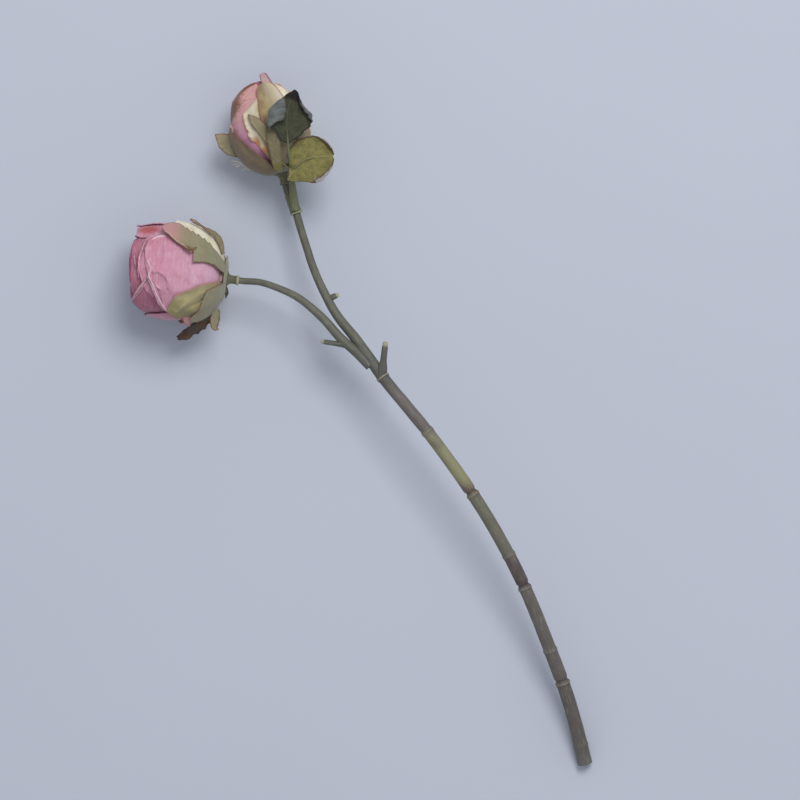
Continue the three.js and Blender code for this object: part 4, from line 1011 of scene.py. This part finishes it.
smallCurls = [
    strip(  # olive sepal standing out at the open side
        budLine(smallBud, [(12.6, -17.2, 2), (17.0, -21.6, 3), (20.5, -24.4, 3.2), (24.6, -27.6, 2.6)]),
        (-0.25, 0.1, 0.95), 4.6, 4.6, bendLeft=6.0, bendRight=6.0, notch=0.03,
        left=[(0, 3.2), (0.35, 4.8), (0.65, 4.2), (0.85, 2.0), (1, 0.2)],
        right=[(0, 3.2), (0.35, 4.6), (0.65, 4.2), (0.85, 2.2), (1, 0.2)], darkTip=(0.75, 1.3),
    ),
]
smallTips = [
    strip(  # rolled tip of the front petal
        budLine(smallBud, [(38.6, 4.6, 10.2), (42.0, 4.1, 8.6), (45.2, 3.5, 7.0), (47.8, 3.0, 6.0)]),
        (0.1, -0.1, 0.98), 3.2, 2.8, bendLeft=1.2, bendRight=1.1, notch=0.02, crumple=0.2,
        left=[(0, 2.8), (0.4, 2.6), (0.8, 2.2), (0.95, 1.7), (1, 0.8)],
        right=[(0, 3.0), (0.4, 2.5), (0.8, 2.0), (0.95, 1.4), (1, 0.6)],
    ),
    strip(  # small pink tip caught behind the tan sepal
        budLine(smallBud, [(22, -17.2, 6), (25, -18.6, 5.4), (27.2, -19.6, 5)]),
        (-0.4, 0.1, 0.9), 1.8, 1.8, bendLeft=1.4, bendRight=1.4, rows=24, columns=17,
    ),
]
curlGrids = [leafGrid(leaf, 900 + k) for k, leaf in enumerate(smallCurls)]
makePiece("smallCurledSepal", curlGrids, [sepalCloth, sepalCloth], ["small_calyx"], wall=0.4)
tipGrids = [leafGrid(leaf, 950 + k) for k, leaf in enumerate(smallTips)]
makePiece("smallPetalTips", tipGrids, [tipCloth, tipCloth], ["small_petals"], wall=0.3)
print("small bud dressed")


# frayed threads below the tan sepal: fine tubes that start on its edge and sink as they run off
threadShape = {
    "runs": [
        [(4.5, -16.5), (7.7, -19.5), (9.3, -22.3), (9.7, -24.3)], [(4.8, -16.7), (7.1, -20.1), (8.3, -23.7)],
        [(3.0, -15.2), (4.4, -17.6), (3.7, -19.5)], [(0.9, -9.5), (2.5, -13.2), (3.7, -16.7), (3.8, -19.7)],
        [(6.4, -19.8), (6.3, -21.5), (7.1, -22.1)], [(7.0, -18.4), (9.4, -21.6), (10.6, -23.0)],
    ],
    "radius": 0.17, "sink": 5.0,
}


def threadGrids(shape):
    grids = []
    for run in shape["runs"]:
        spots = [budSpot(smallBud, h, w, -0.5 - shape["sink"] * k / len(run)) for k, (h, w) in enumerate(run)]
        grids.append(tubeGrid(curveThrough(spots, 26), np.linspace(1, 0.6, 26) * shape["radius"], 6))
    return grids


makePiece("frayedThreads", threadGrids(threadShape), [creamCloth], ["small_calyx"])


# leaves
def leafCloth(name, dye):
    fixed = {"Roughness": 0.7, "Specular IOR Level": 0.3, "Sheen Weight": 0.1}
    material, shader, graph = newMaterial(name, fixed)
    edge, vein = graph.field("edge"), graph.field("pale")
    tone, tip = graph.field("tone"), graph.field("burn")
    warp, weft = graph.field("warp"), graph.field("weft")
    cloth = graph.vector(warp, weft, tone)
    blotch, fine = graph.noise(cloth, 0.3, 3.0), graph.noise(cloth, 1.4, 3.0)
    ground = blotch.between(0.35, 0.68).tint(dye["ground"], dye["blotch"])
    ground = (fine.between(0.5, 0.75) * dye["speckShare"]).tint(ground, dye["speck"])
    ground = (vein.between(0.3, 0.9) * dye["veinShare"]).tint(ground, dye["vein"])
    rim = (1 - (edge + (fine - 0.5) * 0.8).between(dye["rimWide"] * 0.3, dye["rimWide"])) * dye["rimShare"]
    ground = rim.tint(ground, dye["rim"])
    ground = (tip + (fine - 0.5) * 0.4).between(0.2, 0.8).tint(ground, dye["tip"])
    ground.feed(shader, "Base Color")
    weave = graph.math("SINE", warp * 12.0) + graph.math("SINE", weft * 12.0)
    relief = weave * 0.15 + fine * 1.2 + blotch * 0.8 + vein * 0.6
    values = {"Height": relief, "Strength": 0.4, "Distance": 0.0006}
    graph.node("ShaderNodeBump", {}, values, "Normal").feed(shader, "Normal")
    return material


darkTop = {
    "ground": colour(66, 68, 48), "blotch": colour(54, 56, 44), "speck": colour(92, 94, 80),
    "speckShare": 0.35,
    "vein": colour(92, 96, 62), "veinShare": 0.6, "rim": colour(38, 34, 32), "rimWide": 1.2, "rimShare": 0.7,
    "tip": colour(26, 22, 21),
}
darkBack = dict(
    darkTop, ground=colour(106, 109, 108), blotch=colour(84, 86, 82), speck=colour(132, 136, 136),
    vein=colour(70, 70, 60), rim=colour(60, 56, 54), tip=colour(48, 42, 42),
)
roundTop = {
    "ground": colour(108, 104, 56), "blotch": colour(134, 126, 72), "speck": colour(156, 150, 104),
    "speckShare": 0.5,
    "vein": colour(146, 142, 98), "veinShare": 0.6, "rim": colour(84, 60, 50), "rimWide": 0.9,
    "rimShare": 0.85, "tip": colour(120, 100, 70),
}
roundBack = dict(
    roundTop, ground=colour(164, 160, 157), blotch=colour(150, 142, 140), vein=colour(156, 150, 142),
    rim=colour(92, 68, 68), speck=colour(176, 172, 170),
)
narrowTop = {
    "ground": colour(114, 105, 78), "blotch": colour(122, 114, 86), "speck": colour(140, 132, 104),
    "speckShare": 0.4,
    "vein": colour(128, 122, 86), "veinShare": 0.4, "rim": colour(98, 88, 56), "rimWide": 0.8,
    "rimShare": 0.6, "tip": colour(108, 102, 55),
}
darkLeaf = {
    "rib": [
        (-36.5, 137.4, 45.5), (-36.7, 141.5, 46.2), (-36.9, 148.0, 46.4), (-36.0, 155.5, 46.4),
        (-32.7, 163.9, 47.0),
    ],
    "face": (0.16, -0.1, 0.98),
    "left": [
        (0, 0.8), (0.07, 3.2), (0.2, 5.4), (0.27, 6.2), (0.33, 13), (0.43, 20), (0.57, 18.8), (0.68, 13),
        (0.75, 7.6), (0.81, 4.0), (0.9, 2.2), (1, 0.4),
    ],
    "right": [
        (0, 0.8), (0.07, 3.5), (0.18, 8.4), (0.32, 12.5), (0.5, 15), (0.62, 15.5), (0.72, 12.5), (0.8, 9),
        (0.9, 4.4), (1, 0.4),
    ],
    "rollLeft": [
        (0, 0.95), (0.27, 0.9), (0.33, 0.66), (0.43, 0.44), (0.57, 0.43), (0.68, 0.42), (0.75, 0.46),
        (0.81, 0.6), (1, 0.6),
    ],
    "rollRight": [(0, 0.95), (0.25, 0.93), (0.4, 0.84), (0.6, 0.7), (0.76, 0.62), (1, 0.4)],
    "bendLeft": 1.0, "bendRight": 0.9, "cup": 0.008, "notch": 0.12, "teeth": 7, "crumple": 1.2,
    "veinStep": 5.2, "darkTip": (0.72, 0.9), "rows": 120, "columns": 111, "foldLeft": 2.75, "foldRight": 2.6,
}
roundLeaf = {
    "rib": [
        (-36.6, 119.4, 36.4), (-33.2, 124.9, 37.6), (-28.2, 129.4, 37.6), (-21.5, 131.2, 36.4),
        (-14.0, 131.4, 33.6),
    ],
    "face": (0.1, 0.02, 0.98),
    "left": [
        (0, 0.6), (0.12, 1.6), (0.24, 3.6), (0.36, 8.2), (0.5, 10.6), (0.68, 10.6), (0.85, 9.5), (0.95, 6.5),
        (1, 1.0),
    ],
    "right": [
        (0, 0.8), (0.06, 4.6), (0.15, 8.8), (0.3, 11.9), (0.5, 15.0), (0.7, 15.2), (0.86, 12.6), (0.95, 8.4),
        (1, 1.0),
    ],
    "rollLeft": [(0, 0.97), (0.68, 0.96), (0.85, 0.726), (0.95, 0.6), (1, 0.5)],
    "rollRight": [
        (0, 0.98), (0.15, 0.98), (0.3, 0.95), (0.5, 0.803), (0.7, 0.753), (0.86, 0.686), (0.95, 0.6),
        (1, 0.5),
    ],
    "bendLeft": 0.5, "bendRight": 0.55, "cup": 0.013, "notch": 0.03, "teeth": 15, "crumple": 0.35,
    "veinStep": 5.0,
    "rows": 120, "columns": 91, "veinSlope": 1.0, "foldLeft": 2.5, "foldRight": 2.5, "veinWide": 0.36,
}
narrowLeaf = {
    "rib": [
        (-41.6, 124.2, 41.2), (-42.0, 129.5, 42.8), (-42.9, 135.0, 43.6), (-44.0, 141.0, 43.6),
        (-45.6, 148.2, 43.2),
    ],
    "face": (-0.3, 0.0, 0.95), "left": [(0, 1.2), (0.1, 2.2), (0.3, 2.8), (0.6, 3.2), (0.85, 2.8), (1, 0.5)],
    "right": [(0, 1.4), (0.12, 2.6), (0.3, 2.9), (0.6, 3.6), (0.85, 4.2), (0.95, 3.0), (1, 0.5)],
    "rollLeft": [(0, 0.8), (1, 0.7)], "rollRight": [(0, 0.95), (1, 0.92)],
    "bendLeft": 2.2, "bendRight": 1.2, "cup": 0.02, "notch": 0.14, "teeth": 13, "crumple": 0.3,
    "veinStep": 3.6,
    "rows": 100, "columns": 45, "showVein": 0.5, "darkTip": (0.3, 0.0),
}
darkFaces = [leafCloth("darkLeafCloth", darkTop), leafCloth("greyLeafBack", darkBack)]
roundFaces = [leafCloth("yellowGreenLeafCloth", roundTop), leafCloth("greyPinkLeafBack", roundBack)]
narrowFaces = [
    leafCloth("tanLeafCloth", narrowTop),
    leafCloth("tanLeafBack", dict(narrowTop, ground=colour(128, 124, 104))),
]
makePiece("darkLeaf", [leafGrid(darkLeaf, 41)], darkFaces, ["leaf_dark"], wall=0.45)
makePiece("roundLeaf", [leafGrid(roundLeaf, 42)], roundFaces, ["leaf_round"], wall=0.45)
makePiece(
    "narrowLeaf", [leafGrid(narrowLeaf, 43)], narrowFaces, ["leaf_narrow"], wall=0.45,
)
print("leaves dressed")


# stem
# Moulded plastic: colour bands along the stem from a ramp on its length, mottling, fine lengthwise
# wrinkles, pale rims on the joints painted as their highlight, and dark pinches below them.
def mouldedPlastic(name, bands, span, dye):
    material, shader, graph = newMaterial(name, {"Specular IOR Level": 0.35, "Coat Roughness": 0.3})
    place = graph.node("ShaderNodeTexCoord", {}, {}, "Object")
    level = graph.node("ShaderNodeSeparateXYZ", {}, {"Vector": place}, "Y") * 1000
    warp, weft = graph.field("warp"), graph.field("weft")
    pale, dark = graph.field("pale"), graph.field("burn")
    blotch = graph.noise(place, 90.0, 3.0)
    share = (level + (blotch - 0.5) * 6 - span[0]) / (span[1] - span[0])
    stops = [((y - span[0]) / (span[1] - span[0]), shade) for y, shade in bands]
    ground = graph.node("ShaderNodeValToRGB", {"stops": stops}, {"Fac": share}, "Color")
    fibre = graph.noise(graph.vector(warp * 0.18, weft * 2.4, 0.0), 1.0, 3.0, 0.6)
    ground = (fibre.between(0.48, 0.72) * 0.5).tint(ground, dye["light"])
    ground = (blotch.between(0.5, 0.75) * 0.45).tint(ground, dye["brown"])
    # pale joint rims: a painted highlight
    ground = (pale.between(0.3, 0.9) * 0.85).tint(ground, dye["rim"])
    ground = (dark.between(0.3, 0.9) * 0.8).tint(ground, dye["pinch"])
    ground.feed(shader, "Base Color")
    glossAndHighlight = 0.34 + blotch * 0.25 + pale * 0.15
    glossAndHighlight.feed(shader, "Roughness")
    wrinkle = graph.noise(graph.vector(warp * 1.1, weft * 0.4, 3.0), 1.0, 3.0, 0.6)
    relief = fibre * 1.0 + wrinkle * 0.5
    values = {"Height": relief, "Strength": 0.4, "Distance": 0.0007}
    graph.node("ShaderNodeBump", {}, values, "Normal").feed(shader, "Normal")
    return material


stemBands = [
    (-176, colour(102, 98, 95)), (-162, colour(87, 82, 78)), (-133, colour(89, 84, 80)),
    (-118, colour(95, 89, 86)),
    (-86, colour(98, 94, 87)), (-82, colour(76, 64, 64)), (-69, colour(87, 78, 76)),
    (-65, colour(102, 100, 87)),
    (-40, colour(104, 102, 88)), (-35, colour(100, 84, 75)), (-29, colour(134, 132, 98)),
    (-9, colour(132, 130, 103)),
    (-4, colour(98, 91, 87)), (12, colour(102, 95, 92)), (19, colour(77, 76, 70)), (28, colour(85, 86, 80)),
    (60, colour(95, 95, 83)), (90, colour(86, 86, 74)), (126, colour(80, 80, 66)),
]
stemDye = {
    "light": colour(148, 146, 122), "brown": colour(88, 80, 74), "rim": colour(168, 166, 140),
    "pinch": colour(66, 52, 48),
}
stemPlastic = mouldedPlastic("mouldedStemPlastic", stemBands, (-180, 130), stemDye)

caneShape = {
    "spine": [
        (112.4, -172.6, 3.2), (107.75, -153.75, 8.2), (102.25, -135.75, 13.2), (93.25, -111.75, 19.6),
        (83.5, -87.75, 25.4),
        (71.75, -63.75, 30.4), (57.5, -39.75, 34.0), (36.25, -9.75, 36.0), (21.75, 8.25, 35.6),
        (11.75, 20.25, 34.6),
        (-2.5, 40.25, 30.8), (-12.0, 52.25, 28.0), (-18.75, 64.25, 25.4), (-24.0, 76.25, 23.2),
        (-28.0, 88.25, 21.6),
        (-30.75, 97.25, 20.6), (-32.6, 103.8, 20.3), (-34.8, 109.6, 20.2),
    ],
    "girth": [
        (-173, 3.7), (-136, 3.4), (-88, 3.2), (-40, 3.15), (8, 2.95), (24, 2.9), (42, 2.5), (56, 2.25),
        (76, 2.0), (125, 1.95),
    ],
    "joints": [  # level, swell of the rim, pinch above it
        (-163.2, 0.2, 0.0), (-131.5, 0.4, 0.55), (-115.0, 0.3, 0.1), (-83.4, 0.35, 0.6), (-67.0, 0.3, 0.1),
        (-36.8, 0.35, 0.6), (-5.4, 0.32, 0.15), (21.6, 0.5, 0.0),
    ],
    "reach": 1.6, "rows": 900, "sides": 40,
}
branchShape = {
    "spine": [
        (4.4, 27.0, 33.2), (-2.75, 34.25, 32.6), (-10.75, 41.5, 32.0), (-18.75, 50.5, 31.2),
        (-30.75, 60.75, 29.4),
        (-38.75, 64.9, 28.3), (-50.5, 69.0, 26.5),
    ],
    "girth": [(-70, 1.6), (-55, 1.62), (-38, 1.75), (-22, 2.1), (-6, 2.4), (6, 2.5)],
    "rows": 260, "sides": 32,
}
twigShapes = [
    {"foot": (-7.4, 37.6, 32.0), "tip": (-19.8, 39.4, 31.4), "radii": (1.7, 1.5, 1.35, 1.25, 1.3, 1.0)},
    {"foot": (10.0, 20.6, 34.6), "tip": (12.0, 38.8, 38.6), "radii": (2.5, 2.5, 2.3, 1.65, 1.55, 1.55, 1.2)},
    {"foot": (-16.9, 60.6, 26.2), "tip": (-11.9, 62.6, 27.6), "radii": (1.6, 1.5, 1.5, 1.15)},
]


def budRun(bud):
    return [onAxis(bud, distance) for distance in (-11.5, -8.5, -4.25)]


# cane radius: a table of girth, a swell on each joint's rim, a pinch beside it, shallow lengthwise wrinkles
def caneGrid(shape):
    path = curveThrough(shape["spine"] + budRun(smallBud), shape["rows"])
    level = path[:, 1]
    radius = readLine(shape["girth"], level)
    pale, dark = np.zeros_like(level), np.zeros_like(level)
    for joint, rim, pinch in shape["joints"]:
        off = (level - joint) / shape["reach"]
        crest, waist = np.exp(-4 * off ** 2), np.exp(-4 * (off - 1) ** 2)
        radius = radius + rim * crest - pinch * waist
        # the rim's crest is painted pale as its highlight
        pale = np.maximum(pale, (0.25 + rim) * crest ** 3)
        dark = np.maximum(dark, 1.3 * pinch * waist)
    around = 2 * np.pi * np.arange(shape["sides"])[None, :] / shape["sides"]
    wrinkle = 0.05 + 0.06 * easeStep(-level, 40, 120)
    furrow = ripples(
        np.cos(around) * 4 + 0 * level[:, None], np.sin(around) * 4 + level[:, None] / 9, 61, 1.6,
    )
    knobs = 0.06 * ripples(level[:, None] / 3 + 0 * around, np.cos(around) * 1.2, 62, 1.5)
    radius = radius[:, None] + wrinkle[:, None] * furrow + knobs
    ragged = easeStep(-level, 171.6, 172.6)[:, None] * 0.35 * ripples(
        np.cos(around) * 3, np.sin(around) * 3, 63, 2.0,
    )
    return tubeGrid(path, radius + ragged, shape["sides"], {"pale": pale, "burn": dark})


def branchGrid(shape):
    path = curveThrough(shape["spine"] + budRun(largeBud), shape["rows"])
    around = 2 * np.pi * np.arange(shape["sides"])[None, :] / shape["sides"]
    radius = readLine(shape["girth"], path[:, 0])[:, None]
    furrow = ripples(np.cos(around) * 3 + 0 * radius, np.sin(around) * 3 + path[:, :1] / 8, 71, 1.6)
    return tubeGrid(path, radius + 0.05 * furrow, shape["sides"])


def twigGrid(shape):
    count = 24
    path = np.linspace(shape["foot"], shape["tip"], count)
    radius = np.interp(np.linspace(0, 1, count), np.linspace(0, 1, len(shape["radii"])), shape["radii"])
    pale = easeStep(np.linspace(0, 1, count), 0.8, 1.0)
    return tubeGrid(path, radius, 24, {"pale": pale}, domed=0.5)


stemGrids = [caneGrid(caneShape), branchGrid(branchShape)] + [twigGrid(shape) for shape in twigShapes]
makePiece("mouldedStem", stemGrids, [stemPlastic], ["stem"])

stalkShape = {
    "stalk": [(-33.2, 105.6, 22.2), (-34.0, 112.0, 25.0), (-34.5, 118.5, 29.6), (-34.75, 124.0, 35.2)],
    "stalkRadii": (2.5, 1.05),
    "leaflets": [
        [
            (-34.75, 124.0, 35.2), (-35.4, 129.6, 41.4), (-36.2, 136.5, 45.3), (-36.6, 141.5, 46.5),
            (-36.8, 146.5, 46.6),
        ],
        [(-34.75, 124.0, 36.6), (-32.8, 126.0, 38.1), (-28.6, 129.2, 38.2), (-23.0, 130.8, 37.2)],
        [(-34.75, 124.0, 35.2), (-37.5, 126.4, 39.0), (-40.4, 128.8, 42.4)],
    ],
    "leafletRadii": [(0.85, 0.7, 0.55, 0.25), (0.75, 0.5, 0.2), (0.6, 0.5, 0.35)],
    "sheath": (103.2, 113.0), "sheathWall": 1.0,
}
stalkBands = [
    (100, colour(150, 150, 116)), (104, colour(100, 104, 80)), (112, colour(96, 99, 72)),
    (120, colour(110, 112, 74)), (136, colour(108, 108, 72)), (142, colour(74, 76, 50)),
    (152, colour(66, 68, 44)),
]
stalkDye = {
    "light": colour(150, 152, 112), "brown": colour(86, 86, 62), "rim": colour(150, 152, 118),
    "pinch": colour(70, 66, 50),
}
stalkPlastic = mouldedPlastic("greenStalkPlastic", stalkBands, (98, 154), stalkDye)


# the leaf's sheath round the branch, its stalk and three leaflet stalks
def stalkGrids(shape):
    path = curveThrough(caneShape["spine"] + budRun(smallBud), 900)
    low, high = shape["sheath"]
    run = path[(path[:, 1] > low) & (path[:, 1] < high)]
    share = (run[:, 1] - low) / (high - low)
    rim = np.exp(-((share - 0.06) / 0.06) ** 2)
    sheath = readLine(caneShape["girth"], run[:, 1]) + shape["sheathWall"] * (1 - 0.5 * share) + 0.2 * rim
    grids = [tubeGrid(run, sheath, 32, {"pale": rim})]
    stalk = curveThrough(shape["stalk"], 60)
    grids.append(tubeGrid(stalk, np.linspace(*shape["stalkRadii"], 60), 24))
    for points, radii in zip(shape["leaflets"], shape["leafletRadii"]):
        radius = np.interp(np.linspace(0, 1, 50), np.linspace(0, 1, len(radii)), radii)
        grids.append(tubeGrid(curveThrough(points, 50), radius, 16, domed=0.3))
    return grids


makePiece("leafStalk", stalkGrids(stalkShape), [stalkPlastic], ["leaf_stalk"])
print("stem dressed")


# steel wires kept from the frame
def drawnSteel():
    material, shader, graph = newMaterial("drawnSteelWire", {"Metallic": 1.0})
    place = graph.node("ShaderNodeTexCoord", {}, {}, "Object")
    drawn = graph.noise(place, 1500.0, 2.0)
    drawn.between(0.3, 0.7).tint(colour(120, 118, 114), colour(166, 164, 160)).feed(shader, "Base Color")
    (0.3 + drawn * 0.25).feed(shader, "Roughness")
    return material


wireSteel = drawnSteel()
for nodeName in ("main_wire", "branch_wire"):
    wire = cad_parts[nodeName]
    wire.data.materials.clear()
    wire.data.materials.append(wireSteel)
